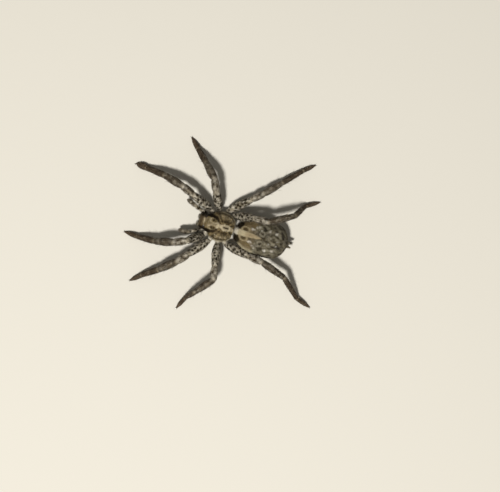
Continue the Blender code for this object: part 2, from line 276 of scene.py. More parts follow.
def outward(points):
    """The outward normals of a grid of rings that go round counter-clockwise, seen from the far end."""
    around = np.roll(points, -1, axis=1) - np.roll(points, 1, axis=1)
    along = np.gradient(points, axis=0)
    normal = np.cross(around, along)
    return normal / np.maximum(np.linalg.norm(normal, axis=-1, keepdims=True), 1e-9)


def loft_mesh(name, lofts):
    """One mesh of closed lofts, with colours, lie and kind of fur at each point, and two maps.

    A loft is a dict: points (rings, round, 3), tone, lie, fur (length, lift in degrees, density), its along
    in millimetres, and its cell of the unit square. Chart holds its cells and Run its true lengths.
    """
    points, faces, chart, run = [], [], [], []
    layers = {"tone": [], "lie": [], "fur": []}
    start = 0
    for loft in lofts:
        grid = loft["points"]
        rings, count = grid.shape[:2]
        ends = [grid[0].mean(0), grid[-1].mean(0)]
        points += [grid.reshape(-1, 3), ends]
        for key, rows in layers.items():
            value = np.broadcast_to(loft[key], grid.shape)
            rows += [value.reshape(-1, 3), value[0].mean(0)[None], value[-1].mean(0)[None]]
        i, j = [a.ravel() for a in np.meshgrid(np.arange(rings - 1), np.arange(count), indexing="ij")]
        after = (j + 1) % count
        corners = [i * count + j, i * count + after, (i + 1) * count + after, (i + 1) * count + j]
        faces += (start + np.stack(corners, 1)).tolist()
        left, low, right, high = loft.get("cell", (0.004, 0.004, 0.99, 0.996))
        along = loft["along"]
        length = along[-1] - along[0]
        girth = np.linalg.norm(np.roll(grid, -1, 1) - grid, axis=-1).sum(1).max()
        step = np.array([(0, 0), (0, 1), (1, 1), (1, 0)])
        forward = along[i[:, None] + step[:, 0]] - along[0]
        round_share = (j[:, None] + step[:, 1]) / count
        chart.append(
            np.stack([left + (right - left) * forward / length, low + (high - low) * round_share], -1)
        )
        run.append(np.stack([forward, round_share * girth], -1))
        j = np.arange(count)
        first, last = start + rings * count, start + rings * count + 1
        edge = start + (rings - 1) * count
        faces += np.stack([np.full(count, first), start + (j + 1) % count, start + j], 1).tolist()
        faces += np.stack([np.full(count, last), edge + j, edge + (j + 1) % count], 1).tolist()
        for end, at in ((0, along[0]), (1, along[-1])):
            across = np.stack([(j + 0.5) / count, (j + 1 - end) / count, (j + end) / count], 1)
            place = np.full_like(across, left + (right - left) * end)
            place[:, 0] += (0.5 - end) * 0.002
            chart.append(np.stack([place, low + (high - low) * across], -1))
            run.append(np.stack([np.full_like(across, at - along[0]), across * girth], -1))
        start += rings * count + 2
    mesh = bpy.data.meshes.new(name)
    mesh.from_pydata((np.concatenate(points) * MM).tolist(), [], faces)
    for map_name, blocks in (("Chart", chart), ("Run", run)):
        places = np.concatenate([block.reshape(-1, 2) for block in blocks])
        mesh.uv_layers.new(name=map_name).data.foreach_set("uv", places.ravel())
    tones = np.concatenate(layers["tone"])
    marking = mesh.color_attributes.new("marking", "FLOAT_COLOR", "POINT")
    marking.data.foreach_set("color", np.hstack([tones, np.ones((len(tones), 1))]).ravel())
    for key in ("lie", "fur"):
        layer = mesh.attributes.new(key, "FLOAT_VECTOR", "POINT")
        layer.data.foreach_set("vector", np.concatenate(layers[key]).ravel())
    mesh.shade_smooth()
    return mesh


def marked_colour(tree, blotch_mm, grain_mm, strength):
    """The piece's own markings, broken up by blotches and a finer grain of those sizes."""
    marking = add_node(tree, "ShaderNodeAttribute", attribute_name="marking")
    place = add_node(tree, "ShaderNodeTexCoord")
    mixed = marking.outputs["Color"]
    for size, share in ((blotch_mm, strength), (grain_mm, strength * 0.8)):
        noise = add_node(
            tree,
            "ShaderNodeTexNoise",
            {"Vector": place.outputs["Object"], "Scale": 1 / (size * MM), "Detail": 2.0},
        )
        level = add_node(
            tree,
            "ShaderNodeMapRange",
            {"Value": noise.outputs["Fac"], 1: 0.3, 2: 0.7, 3: 1 - share, 4: 1 + share},
        )
        mixed = add_node(
            tree, "ShaderNodeVectorMath", {0: mixed, 1: level.outputs["Result"]}, operation="MULTIPLY"
        ).outputs["Vector"]
    return mixed


box_low, box_high = [np.array(corner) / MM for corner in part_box("carapace")]
half_width = (box_high[1] - box_low[1]) / 2
rise = box_high[2] - box_low[2]
share = np.linspace(0, 1, SHIELD_RINGS)
face_turn = np.linspace(0, math.radians(FACE_TURN_DEG), FACE_RINGS + 1)[1:]
shrink = np.concatenate([np.ones(SHIELD_RINGS), np.cos(face_turn)])
swell = np.concatenate([np.zeros(SHIELD_RINGS), np.sin(face_turn)])
share = np.concatenate([share, np.ones(FACE_RINGS)])
ring_x = box_low[0] + share * (box_high[0] - FACE_SET_BACK - box_low[0]) + swell * FACE_BULGE
half = eased(share, SHIELD_WIDTH) * half_width - SHIELD_COAT
edge_z = box_low[2] + eased(share, SHIELD_EDGE) * rise
roof_z = box_low[2] + eased(share, SHIELD_ROOF) * rise - SHIELD_COAT
boxy = eased(share, SHIELD_BOXY)[:, None]
turn = np.linspace(0, math.pi, SHIELD_ARC)[None, :]
arc_y = np.sign(np.cos(turn)) * np.abs(np.cos(turn)) ** boxy
arc_z = np.sin(turn).clip(0, 1) ** boxy
under = np.linspace(-1, 1, SHIELD_UNDER + 2)[None, 1:-1] + 0 * boxy
ring_y = np.concatenate([arc_y, under], 1) * half[:, None]
ring_z = edge_z[:, None] + np.concatenate([arc_z, 0 * under], 1) * (roof_z - edge_z)[:, None]
middle_z = ((edge_z + roof_z) / 2)[:, None]
grid = np.stack(
    [
        ring_x[:, None] + 0 * ring_y,
        zero[1] + ring_y * shrink[:, None],
        middle_z + (ring_z - middle_z) * shrink[:, None],
    ],
    -1,
)
is_top = np.concatenate([np.sin(turn) + 0 * boxy, 0 * under], 1)
ahead, aside = grid[..., 0] - zero[0], grid[..., 1] - zero[1]
off_middle = np.abs(aside)
groove = eased(ahead, HEAD_GROOVE)
in_head = ramp(groove - off_middle, -0.12, 0.12) * ramp(ahead, -0.85, -0.4)
bearing = np.degrees(np.arctan2(off_middle, ahead - FAN_FORWARD))
from_slit = np.hypot(off_middle, ahead - FAN_FORWARD)
chest_lines = sum(bell(bearing, at, 5) for at in CHEST_GROOVES_DEG) * ramp(from_slit, 0.45, 0.9)
chest_lines *= 1 - in_head
slit = bell(aside, 0, 0.06) * ramp(ahead, FOVEA[0] - 0.1, FOVEA[0] + 0.1)
slit *= 1 - ramp(ahead, FOVEA[1] - 0.1, FOVEA[1] + 0.1)
relief = HEAD_RISE * in_head
relief -= HEAD_GROOVE_DEPTH * bell(off_middle, groove, 0.11) * ramp(ahead, -0.8, -0.3)
relief -= CHEST_GROOVE_DEPTH * chest_lines + SLIT_DEPTH * slit
relief = relief * ramp(is_top, 0.02, 0.2)
relief += MARGIN_RIDGE * bell(is_top, 0.13, 0.07) * (1 - ramp(ahead, 1.3, 2.1))
near_eye = np.zeros(ahead.shape)
for kind in EYE_KINDS:
    for side in SIDES:
        low, high = [np.array(corner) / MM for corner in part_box(f"eye_{kind}_{side}")]
        radius = (high[2] - low[2]) / 2
        apart = np.linalg.norm(grid - (low + high) / 2, axis=-1)
        relief += radius * SOCKET_RISE * bell(apart, 0, SOCKET_REACH * radius)
        near_eye = np.maximum(near_eye, bell(apart, 0, SOCKET_SHADE * radius))
grid = grid + outward(grid) * relief[..., None]

edge_share = off_middle / np.maximum(half[:, None], 0.2)
speck = mottle(grid, 0.22, 3)
fleck = mottle(grid, 0.09, 4)
band_edge = off_middle - eased(ahead, PALE_BAND)
in_band = 1 - ramp(band_edge + 0.05 * speck, -0.07, 0.07)
on_head = ramp(ahead, -0.3, 0.1)
loop_ahead = (ahead - LOOP_CENTRE[0]) / LOOP_HALF_SIZE[0]
loop_aside = (off_middle - LOOP_CENTRE[1]) / LOOP_HALF_SIZE[1]
from_loop = np.hypot(loop_ahead, loop_aside) + 0.1 * speck
bars = 1 - ramp(from_loop, 0.6, 0.85)
lips = np.maximum(bell(from_loop, 1.08, 0.2), bell(band_edge, -0.1, 0.08) * (1 - ramp(ahead, -0.5, -0.1)))
midline = bell(aside + 0.04 * speck, 0, 0.12) * on_head * (1 - ramp(ahead, 0.7, 1.2))
front_end = ahead[SHIELD_RINGS - 1]
# Dark arcs just outside the pale band on the head, closed across its front: partly a dark line of the head,
# partly painted shade where the raised head slopes away at its sides.
arcs_and_slope_shade = 2.6 * bell(band_edge + 0.03 * speck, 0.23, 0.22) * ramp(ahead, -0.5, -0.1)
arcs_and_slope_shade = np.maximum(arcs_and_slope_shade, 0.85 * bell(ahead, front_end - 0.02, 0.12) * ramp(off_middle, 0.1, 0.5))
outer_line = bell(band_edge, 0.56, 0.08) * ramp(ahead, 0.6, 1.0)
brow = bell(ahead + 0.1 * aside + 0.06 * speck, BROW_FORWARD, 0.11) * bell(aside, -0.15, 0.42)
streaks = 0.5 + 0.5 * np.sin(np.radians(bearing) * 15 + 0.8 * speck)
blobs = ramp(0.6 * speck + 0.8 * fleck, 0.1, 0.55) * bell(edge_share, 0.74, 0.16) * (1 - on_head)
shield_tone = painted(
    SHIELD_TONES,
    "side",
    ("warm", 0.5 + 0.5 * speck + 0.3 * fleck),
    ("streak", 0.95 * ramp(0.6 * streaks + 0.35 * speck + 0.3 * fleck, 0.36, 0.52)),
    ("streak", 0.95 * bell(off_middle, 0.85, 0.25) * bell(ahead, -1.3, 0.6)),
    ("streak", 0.7 * chest_lines),
    ("pale", 0.85 * blobs),
    ("streak", 0.8 * bell(edge_share, 0.86, 0.05) * (1 - on_head)),
    ("edge", 0.85 * ramp(edge_share, 0.9, 0.96) * (1 - on_head * 0.6)),
    ("edge", 0.7 * outer_line),
    ("arc_and_slope_shade", arcs_and_slope_shade),
    ("band", in_band),
    ("pale", in_band * (1 - on_head)),
    ("pale", in_band * on_head * ramp(speck + 0.6 * fleck, 0.5, 0.9) * 0.6),
    ("bar", in_band * on_head * np.clip(bars + 0.6 * ramp(fleck + 0.3 * speck, 0.2, 0.7), 0, 1)),
    ("pale", in_band * np.clip(lips + 0.6 * midline, 0, 1) * 0.85),
    ("ochre", in_band * on_head * (1 - ramp(ahead, 1.2, 1.7)) * 0.7 * ramp(-speck, -0.1, 0.4)),
    ("face", 0.9 * in_band * ramp(ahead + 0.1 * speck, 1.75, 1.95)),
    ("streak", 0.7 * in_band * ramp(ahead, 1.75, 1.95) * ramp(speck + 0.5 * fleck, 0.2, 0.7)),
    ("pale", 0.95 * brow),
    ("bar", bell(aside, 0, 0.16) * ramp(ahead, -2.1, -1.8) * (1 - ramp(ahead, -1.2, -0.95))),
    ("streak", 0.95 * slit),
    ("face", 0.85 * swell[:, None]),
    ("clypeus", 0.9 * ramp(swell[:, None] + 0.1 * speck, 0.25, 0.6)),
    ("socket", 1.25 * ramp(near_eye, 0.3, 0.62)),
)
shield_lie = np.stack([-1 + 0 * aside, 0.35 * aside, -0.2 + 0 * aside], -1)
shield_lie[SHIELD_RINGS:] = (0.1, 0, -1)
haired = np.maximum(ramp(is_top, 0.05, 0.2), swell[:, None])
shield_fur = fur_at(
    0.2 - 0.07 * ramp(ahead, 0.6, 2.0) + 0.04 * swell[:, None],
    18 + 10 * ramp(ahead, 0.5, 2.0),
    haired * (1 - ramp(near_eye, 0.3, 0.6)) * (1 - 0.9 * slit),
)
shield_loft = {
    "points": grid,
    "tone": shield_tone,
    "lie": shield_lie,
    "fur": shield_fur,
    "along": np.concatenate([[0], np.cumsum(np.linalg.norm(np.diff(grid[:, ROOF_COLUMN], axis=0), axis=-1))]),
}

# Tanned cuticle, grown in one piece: a low waxy gloss, a fine pebbled grain and pores where the hairs stand.
plate, tree, shader = new_material(
    "tanned_cuticle", Roughness=0.5, Specular_IOR_Level=0.4, Specular_Tint=linear(CUTICLE_SHEEN)
)
tree.links.new(marked_colour(tree, 0.16, 0.05, 0.22), shader.inputs["Base Color"])
place = add_node(tree, "ShaderNodeTexCoord")
pebbles = add_node(
    tree, "ShaderNodeTexVoronoi", {"Vector": place.outputs["Object"], "Scale": 1 / (PEBBLE_SIZE * MM)}
)
raised = {"Height": pebbles.outputs["Distance"], "Distance": PEBBLE_DEPTH * MM, "Strength": 1.0}
bump = add_node(tree, "ShaderNodeBump", raised)
tree.links.new(bump.outputs["Normal"], shader.inputs["Normal"])

head_shield = add_object("head_shield", loft_mesh("head_shield", [shield_loft]), plate)
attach(head_shield, "root")
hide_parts("carapace")


# ---------------------------------------------------------------- eyes
# Eight simple eyes: four small ones in a front row over the jaws, two large ones that look ahead above them,
# and two more on top of the head that look aside. Each is a hard clear lens over a black pit in a socket.
EYE_FACING = {
    "front_inner": (1, 0.08, -0.05),
    "front_outer": (1, 0.45, -0.15),
    "large": (1, 0.4, 0.3),
    "side": (-0.1, 0.9, 0.75),
}
EYE_TONES = {"pit": "#070506", "painted_eyeshine": "#2b1c10", "rim": "#0d0906"}

# Clear cuticle, smooth as glass: a hard small highlight, and a painted reflection inside the rim: a brown
# eyeshine.
lens, tree, shader = new_material(
    "clear_lens_cuticle", Roughness=0.06, Specular_IOR_Level=0.6, Coat_Weight=1.0, Coat_Roughness=0.02
)
tree.links.new(marked_colour(tree, 0.12, 0.04, 0.12), shader.inputs["Base Color"])

for kind in EYE_KINDS:
    for side_name, side in SIDES.items():
        low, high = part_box(f"eye_{kind}_{side_name}")
        forward, outwards, upwards = EYE_FACING[kind]
        facing = Vector((forward, outwards * side, upwards)).normalized()
        turned = Matrix.Translation((low + high) / 2) @ facing.to_track_quat("Z", "Y").to_matrix().to_4x4()
        radius = (high.z - low.z) / 2
        build = bmesh.new()
        bmesh.ops.create_uvsphere(build, u_segments=32, v_segments=20, radius=radius, matrix=turned)
        ball = bpy.data.meshes.new(f"{kind}_eye_{side_name}")
        build.to_mesh(ball)
        build.free()
        ball.shade_smooth()
        towards = np.array([(v.co - (low + high) / 2).dot(facing) / radius for v in ball.vertices])
        # A dark pit, with a painted brown eyeshine in a ring inside the rim.
        tones = painted(EYE_TONES, "pit", ("painted_eyeshine", bell(towards, 0.55, 0.2)), ("rim", towards < 0.3))
        marking = ball.color_attributes.new("marking", "FLOAT_COLOR", "POINT")
        marking.data.foreach_set("color", np.hstack([tones, np.ones((len(tones), 1))]).ravel())
        eye = add_object(ball.name, ball, lens)
        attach(eye, "root")
        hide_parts(f"eye_{kind}_{side_name}")


# ---------------------------------------------------------------- jaws
# The chelicerae are two stout upright shells hung from the face, hairy in front, each with a curved fang
# that folds across under it. The solids' own rings are read back, and a finer loft is run through them.
JAW_COAT = 0.05
JAW_TONES = {"top": "#4a4233", "low": "#2a1e15", "hair": "#8a846f"}
FANG_TONES = {"root": "#2e140c", "tip": "#120705"}
FANG_SAG, FANG_RISE, FANG_TAPER = 0.06, 0.17, 0.45
WRINKLE_SCALE, WRINKLE_DEPTH = 0.5, 0.006
# A ring is read at this many angles, kept to its first few waves, and drawn over this many steps to the next.
READ_ROUND, WAVES_KEPT, STEPS_A_RING = 192, 7, 24
END_TURNS_DEG = (15, 29.5, 44, 58.5, 73, 87.5)  # where a rounded end's rings lie


def rings_of(node, start):
    """The rings of points that a lofted solid was made through, from the end that is nearer to start."""
    mesh = frame["nodes"][node].data
    corners = np.array([v.co for v in mesh.vertices]) / MM
    _, first, merged = np.unique(np.round(corners, 4), axis=0, return_index=True, return_inverse=True)
    points = corners[first]
    faces = merged.reshape(-1)[np.array([tuple(face.vertices) for face in mesh.polygons])]
    # The flat cap at one end is a fan, so its hub has the most faces of any point.
    hub = np.bincount(faces.ravel()).argmax()
    fan = np.flatnonzero((faces == hub).any(1))
    a, b, c = [points[faces[fan, k]] for k in range(3)]
    normal = np.cross(b - a, c - a)
    normal /= np.linalg.norm(normal, axis=1, keepdims=True)
    # More of the cap's faces lie in one plane than of the others that meet at the hub.
    level = normal @ normal.T > 0.9999
    ring = np.unique(faces[fan[level[level.sum(1).argmax()]]])
    rings, seen = [], np.array([], int)
    while len(ring) > 2:
        rings.append(points[ring])
        seen = np.union1d(seen, ring)
        ring = np.setdiff1d(faces[np.isin(faces, ring).any(1)], seen)
    ends = [np.linalg.norm(rings[k].mean(0) - start) for k in (0, -1)]
    return rings if ends[0] < ends[1] else rings[::-1]


def through(rows, places):
    """Rows of numbers read at fractional places, on a smooth curve through them."""
    last = len(rows) - 1
    row = np.clip(np.floor(places).astype(int), 0, last - 1)
    run = (places - row).reshape(-1, *[1] * (rows.ndim - 1))
    before, here = rows[np.clip(row - 1, 0, last)], rows[row]
    there, after = rows[row + 1], rows[np.clip(row + 2, 0, last)]
    cubic = 3 * here - before - 3 * there + after
    square = 2 * before - 5 * here + 4 * there - after
    return 0.5 * (2 * here + (there - before) * run + square * run**2 + cubic * run**3)


def softened(values, sigma):
    """Values along the first axis, blurred over sigma rows without pulling in the ends."""
    if sigma <= 0:
        return values
    reach = min(int(3 * sigma) + 1, len(values) - 1)
    kernel = np.exp(-0.5 * (np.arange(-reach, reach + 1) / sigma) ** 2)
    pads = [(reach, reach)] + [(0, 0)] * (values.ndim - 1)
    padded = np.pad(values, pads, mode="reflect", reflect_type="odd")
    blurred = sum(w * padded[k : k + len(values)] for k, w in enumerate(kernel))
    return blurred / kernel.sum()


def fine_loft(rings, count, step, coat, upright=(0, 0, 1), ends=(0.7, 0.7), soft=0.0):
    """A finer loft through rings of points, inside them by the coat's depth, with ends rounded over.

    Its points start underneath and go round. place is the ring number that each fine ring lies at, ends are
    how far each end bulges for its radius, and soft is the length in mm over which it is smoothed.
    """
    centres = np.array([(ring.max(0) + ring.min(0)) / 2 for ring in rings])
    ways = np.gradient(centres, axis=0)
    angles = -math.pi / 2 + 2 * math.pi * np.arange(READ_ROUND) / READ_ROUND
    radii = []
    for ring, centre, way in zip(rings, centres, ways):
        across = np.cross(upright, way)
        across /= np.linalg.norm(across)
        upward = np.cross(way, across) / np.linalg.norm(way)
        arms = ring - centre
        at = np.arctan2(arms @ upward, arms @ across)
        order = np.argsort(at)
        lengths = np.interp(angles, at[order], np.linalg.norm(arms, axis=1)[order], period=2 * math.pi)
        waves = np.fft.rfft(lengths)
        waves[WAVES_KEPT:] = 0
        radii.append(np.fft.irfft(waves, READ_ROUND))
    radii = np.array(radii)
    fine = np.linspace(0, len(rings) - 1, STEPS_A_RING * (len(rings) - 1) + 1)
    path = through(centres, fine)
    run = np.concatenate([[0], np.cumsum(np.linalg.norm(np.diff(path, axis=0), axis=1))])
    along = np.linspace(0, run[-1], max(int(run[-1] / step), 8) + 1)
    place = np.interp(along, run, fine)
    centre = softened(through(centres, place), soft / (along[1] - along[0]))
    radius = softened(through(radii, place), soft / (along[1] - along[0]))
    depth = coat(place)[:, None] if callable(coat) else coat
    radius = np.maximum(radius - depth, 0.02)
    radius = radius[:, np.arange(count) * READ_ROUND // count]
    way = np.gradient(centre, axis=0)
    way /= np.linalg.norm(way, axis=1, keepdims=True)
    turns = np.radians(END_TURNS_DEG)
    for end, bulge in ((0, ends[0]), (-1, ends[1])):
        if not bulge:
            continue
        sign = 1 if end else -1
        size = radius[end].mean() * bulge
        more = [centre[end] + way[end] * sign * size * math.sin(t) for t in turns]
        thin = [radius[end] * math.cos(t) for t in turns]
        steps = [along[end] + sign * size * math.sin(t) for t in turns]
        given = (centre, radius, way, along, place)
        added = (more, thin, [way[end]] * len(turns), steps, [place[end]] * len(turns))
        centre, radius, way, along, place = [
            np.concatenate((rows, np.array(new)[::sign])[::sign]) for rows, new in zip(given, added)
        ]
    across = np.cross(upright, way)
    across /= np.linalg.norm(across, axis=1, keepdims=True)
    upward = np.cross(way, across)
    angle = -math.pi / 2 + 2 * math.pi * np.arange(count) / count
    arms = across[:, None] * np.cos(angle)[None, :, None] + upward[:, None] * np.sin(angle)[None, :, None]
    points = centre[:, None] + arms * radius[..., None]
    return {
        "points": points,
        "along": along,
        "place": place,
        "centre": centre,
        "way": way,
        "from_top": (angle - math.pi / 2)[None, :],
    }


# Dark cuticle, thick and polished by wear: glossier than the head shield, with fine cross wrinkles.
jaw_shell, tree, shader = new_material("polished_dark_cuticle", Roughness=0.34, Specular_IOR_Level=0.5)
tree.links.new(marked_colour(tree, 0.2, 0.06, 0.2), shader.inputs["Base Color"])
place = add_node(tree, "ShaderNodeTexCoord")
wrinkles = add_node(
    tree,
    "ShaderNodeTexWave",
    {"Vector": place.outputs["Object"], "Scale": 1 / (WRINKLE_SCALE * MM), "Distortion": 4.0},
    bands_direction="Z",
)
raised = {"Height": wrinkles.outputs["Fac"], "Distance": WRINKLE_DEPTH * MM, "Strength": 1.0}
bump = add_node(tree, "ShaderNodeBump", raised)
tree.links.new(bump.outputs["Normal"], shader.inputs["Normal"])

# Fang cuticle, hardest of all: near black, reddish where it is thin, with an even high gloss.
fang_shell, tree, shader = new_material(
    "hard_fang_cuticle", Roughness=0.16, Specular_IOR_Level=0.6, Coat_Weight=0.6, Coat_Roughness=0.1
)
tree.links.new(marked_colour(tree, 0.1, 0.03, 0.15), shader.inputs["Base Color"])

jaw_lofts = {}
for side_name, side in SIDES.items():
    brow = zero + (2.4, 0.5 * side, 3)
    jaw = fine_loft(
        rings_of(f"chelicera_{side_name}", brow), 40, 0.05, JAW_COAT, upright=(1, 0, 0), ends=(0, 0.5)
    )
    drop = jaw["along"] / jaw["along"][-1]
    front = ramp(outward(jaw["points"])[..., 0], -0.1, 0.5)
    patch = mottle(jaw["points"], 0.16, 11)
    jaw["tone"] = painted(
        JAW_TONES,
        "top",
        ("low", ramp(drop, 0.35, 0.8)[:, None] + 0 * front),
        ("hair", 0.75 * front * (1 - ramp(drop, 0.3, 0.75))[:, None] * ramp(patch, -0.5, 0.4)),
    )
    jaw["lie"] = np.array([0.15, 0, -1])
    inner = ramp(-side * outward(jaw["points"])[..., 1], 0.1, 0.6)
    crown = 1 - ramp(drop, 0.05, 0.15)[:, None]
    hairy = np.maximum(np.maximum(front, inner), crown) * (1 - ramp(drop, 0.4, 0.8))[:, None]
    dense = (0.25 + 0.75 * np.maximum(front, hairy)) * (1 - 0.7 * ramp(drop, 0.6, 0.9))[:, None]
    jaw["fur"] = fur_at(0.18 + 0.11 * hairy, 24 + 12 * hairy, dense)
    jaw_lofts[side_name] = jaw
    shell = add_object(f"jaw_{side_name}", loft_mesh(f"jaw_{side_name}", [jaw]), jaw_shell)
    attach(shell, "root")
    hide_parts(f"chelicera_{side_name}")

    fang = fine_loft(
        rings_of(f"fang_{side_name}", zero + (2.34, 0.62 * side, 1)), 20, 0.03, 0.0, ends=(0.5, 2.2)
    )
    run = (fang["along"] - fang["along"][0]) / (fang["along"][-1] - fang["along"][0])
    centre = fang["centre"][:, None]
    fang["points"] = centre + (fang["points"] - centre) * (1 - FANG_TAPER * run)[:, None, None]
    sag, up = FANG_SAG * np.sin(math.pi * run), FANG_RISE * (1 - ramp(run, 0, 0.75))
    fang["points"] = fang["points"] + np.stack([sag, 0 * run, up], -1)[:, None, :]
    fang["tone"] = painted(FANG_TONES, "root", ("tip", run[:, None] + 0 * fang["from_top"]))
    fang["lie"] = fang["fur"] = np.zeros(3)
    shell = add_object(f"claw_of_jaw_{side_name}", loft_mesh(f"claw_of_jaw_{side_name}", [fang]), fang_shell)
    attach(shell, "root")
    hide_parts(f"fang_{side_name}")


# ---------------------------------------------------------------- breastplate and mouthparts
# Under the body a flat shield-shaped plate carries the hips. In front of it a small lip lies between two
# plates that border the mouth. They are thin brown shells with sparse pale hair.
PLATE_TONES = {"rim": "#3f3021", "field": "#6d573b", "midline": "#92805f", "pale": "#a08e70"}
PLATE_COAT = 0.06

under_lofts = []
for node, cell in (
    ("sternum", (0, 0, 0.3, 1)),
    ("labium", (0.34, 0, 0.5, 0.45)),
    ("maxilla_left", (0.55, 0, 0.75, 0.9)),
    ("maxilla_right", (0.8, 0, 1, 0.9)),
):
    box_low, box_high = [np.array(corner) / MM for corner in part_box(node)]
    top = (box_low + box_high) / 2 + (0, 0, 5)
    plate_loft = fine_loft(rings_of(node, top), 64, 0.07, PLATE_COAT, upright=(1, 0, 0), ends=(0, 0.22))
    sideways = (plate_loft["points"][..., 1] - zero[1]) / (box_high[1] - box_low[1])
    low_down = ramp(-outward(plate_loft["points"])[..., 2], 0.2, 0.8)
    blotch = mottle(plate_loft["points"], 0.25, 21)
    plate_loft["tone"] = painted(
        PLATE_TONES,
        "rim",
        ("field", low_down),
        ("midline", low_down * bell(sideways, 0, 0.12) * (node == "sternum")),
        ("pale", 0.4 * ramp(blotch, 0.1, 0.9)),
    )
    back = np.where(low_down[..., None] > 0.5, np.array([-1.0, 0, 0]), np.array([-0.3, 0, -1]))
    plate_loft["lie"] = back if node == "sternum" else np.array([0.2, 0, -1])
    plate_loft["fur"] = fur_at(0.2, 26, 0.8)
    plate_loft["cell"] = cell
    under_lofts.append(plate_loft)
    piece_name = {"sternum": "breastplate", "labium": "lip"}.get(node, node.replace("maxilla", "mouth_plate"))
    shell = add_object(piece_name, loft_mesh(piece_name, [plate_loft]), plate)
    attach(shell, "root")
    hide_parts(node)


# ---------------------------------------------------------------- skin of legs, palps, waist and abdomen
# One skin covers all the flesh. Each leg is a single tube from hip to toe, drawn in at its joints, where the
# thin pale membrane shows; the abdomen is a soft bag with small pits where muscles pull on its back.
LEG_POINTS_ROUND, LEG_RING_STEP = 30, 0.085
# Ring numbers of a leg's joints along its solids: hip, trochanter, knee, patella's end, ankle, heel, tip.
LEG_JOINTS = (0, 3, 9, 12, 17, 22, 26)
LEG_COAT = ((0, 0.07), (9, 0.06), (17, 0.05), (22, 0.03), (26, 0.03))
JOINT_WAISTS = (0, 0.18, 0.16, 0.1, 0.14, 0.07, 0)
JOINT_WAIST_WIDTH, COLLAR_RISE, TOE_TAPER = 0.13, 0.05, 0.4
SOLE_HEIGHT = 0.004  # no skin lies lower
PALP_JOINTS, PALP_WAISTS = (0, 4, 7, 10, 14), (0, 0.15, 0.13, 0.12, 0)
PALP_COAT = 0.06
ABDOMEN_COAT = 0.09
ABDOMEN_ROUND, ABDOMEN_STEP = 120, 0.085
MUSCLE_PITS = ((0.3, 0.62), (0.42, 0.85), (0.56, 0.7), (0.68, 0.55))  # share of length, off the middle
PIT_DEPTH, PIT_WIDTH = 0.05, 0.16
SHIN_DARKNESS = {1: 0.75, 2: 0.6, 3: 0.5, 4: 1.4}  # by leg
FUR_LENGTHS = ((0, 0.2), (1, 0.26), (2, 0.27), (3, 0.3), (4, 0.27), (5, 0.22), (6, 0.17))  # by segment
LEG_TONES = {
    "straw": "#807765",
    "cream": "#bbb3a1",
    "spot": "#1c160e",
    "grey": "#5a5143",
    "streak": "#968c79",
    "dark": "#2b231a",
    "foot": "#3e3327",
    "toe": "#493d31",
    "membrane": "#9d917a",
    "belly": "#7d7259",
}
ABDOMEN_TONES = {
    "grey": "#69624f",
    "dark": "#46413a",
    "black": "#1f1a13",
    "olive": "#6f5f42",
    "brown": "#77644a",
    "buff": "#a49575",
    "pale": "#8b8470",
    "white": "#d6cfbf",
    "cream": "#c4b999",
    "belly": "#857a63",
}
# The back's markings are placed in millimetres behind the body's zero and off the abdomen's middle line.
BAG_MIDDLE = -0.12
# Half width of the pale heart mark, from its blunt front to its pointed end.
HEART_MARK = ((2.5, 0.16), (2.9, 0.34), (3.3, 0.42), (4.4, 0.39))
HEART_MARK += ((5.3, 0.34), (6.0, 0.25), (6.5, 0.13), (6.9, 0))
HEART_LOOP = (4.3, 0.62, 0.56, 0.38)  # behind, off the middle, half length, half width
# Pale spots in pairs down the back: behind, off the middle, size, how long for their width.
BACK_SPOTS = (
    (5.3, 0.93, 0.17, 1.6),
    (5.75, 1.27, 0.07, 1.4),
    (6.15, 1.58, 0.13, 1.0),
    (6.5, 1.12, 0.06, 1.0),
    (7.75, 1.4, 0.17, 1.0),
    (8.0, 0.5, 0.07, 1.0),
    (8.75, 1.27, 0.15, 1.3),
    (9.1, 0.35, 0.08, 1.0),
)
# Dark spots, written the same way.
DARK_SPOTS = (
    (7.15, 1.32, 0.19, 1.1),
    (6.75, 1.68, 0.14, 1.0),
    (8.25, 1.05, 0.15, 1.0),
    (7.25, 0.1, 0.14, 1.2),
)
RING_SPOT = (6.8, 0.72, 0.34)  # behind, off the middle, radius of a pair of pale rings
STREAK_LENGTH, STREAK_WIDTH, STREAK_DEPTH = 0.3, 0.05, 0.02

# Living cuticle of the limbs and the bag, softer than the plates: it takes the coat's markings, and fine
# short hairs lying along each limb show as streaks. True hairs are finer than the streaks are drawn.
skin_material, tree, shader = new_material(
    "hairy_soft_cuticle", Roughness=0.6, Specular_IOR_Level=0.3, Specular_Tint=linear(CUTICLE_SHEEN)
)
tree.links.new(marked_colour(tree, 0.2, 0.06, 0.2), shader.inputs["Base Color"])
true_lengths = add_node(tree, "ShaderNodeUVMap", uv_map="Run")
streak_scale = (1 / STREAK_LENGTH, 1 / STREAK_WIDTH, 1)
stretched = add_node(
    tree, "ShaderNodeMapping", {"Vector": true_lengths.outputs["UV"], "Scale": streak_scale}
)
streaks = add_node(
    tree, "ShaderNodeTexNoise", {"Vector": stretched.outputs["Vector"], "Scale": 1.0, "Detail": 1.0}
)
raised = {"Height": streaks.outputs["Fac"], "Distance": STREAK_DEPTH * MM, "Strength": 1.0}
bump = add_node(tree, "ShaderNodeBump", raised)
tree.links.new(bump.outputs["Normal"], shader.inputs["Normal"])


def limb_waists(limb, joints, waists):
    """Draws a limb in at its joints, and numbers its rings by segment: 1.5 is halfway along the second."""
    at = np.interp(joints, limb["place"], limb["along"])
    factor = np.ones(len(limb["along"]))
    for where, depth in zip(at, waists):
        factor -= depth * bell(limb["along"], where, JOINT_WAIST_WIDTH)
        factor += COLLAR_RISE * (depth > 0) * bell(limb["along"], where - 0.3, 0.14)
    centre = limb["centre"][:, None]
    limb["points"] = centre + (limb["points"] - centre) * factor[:, None, None]
    limb["segment"] = np.interp(limb["along"], at, np.arange(len(joints)))
    limb["near_joint"] = sum(bell(limb["along"], where, 0.1) for where in at[1:-1])
    return limb


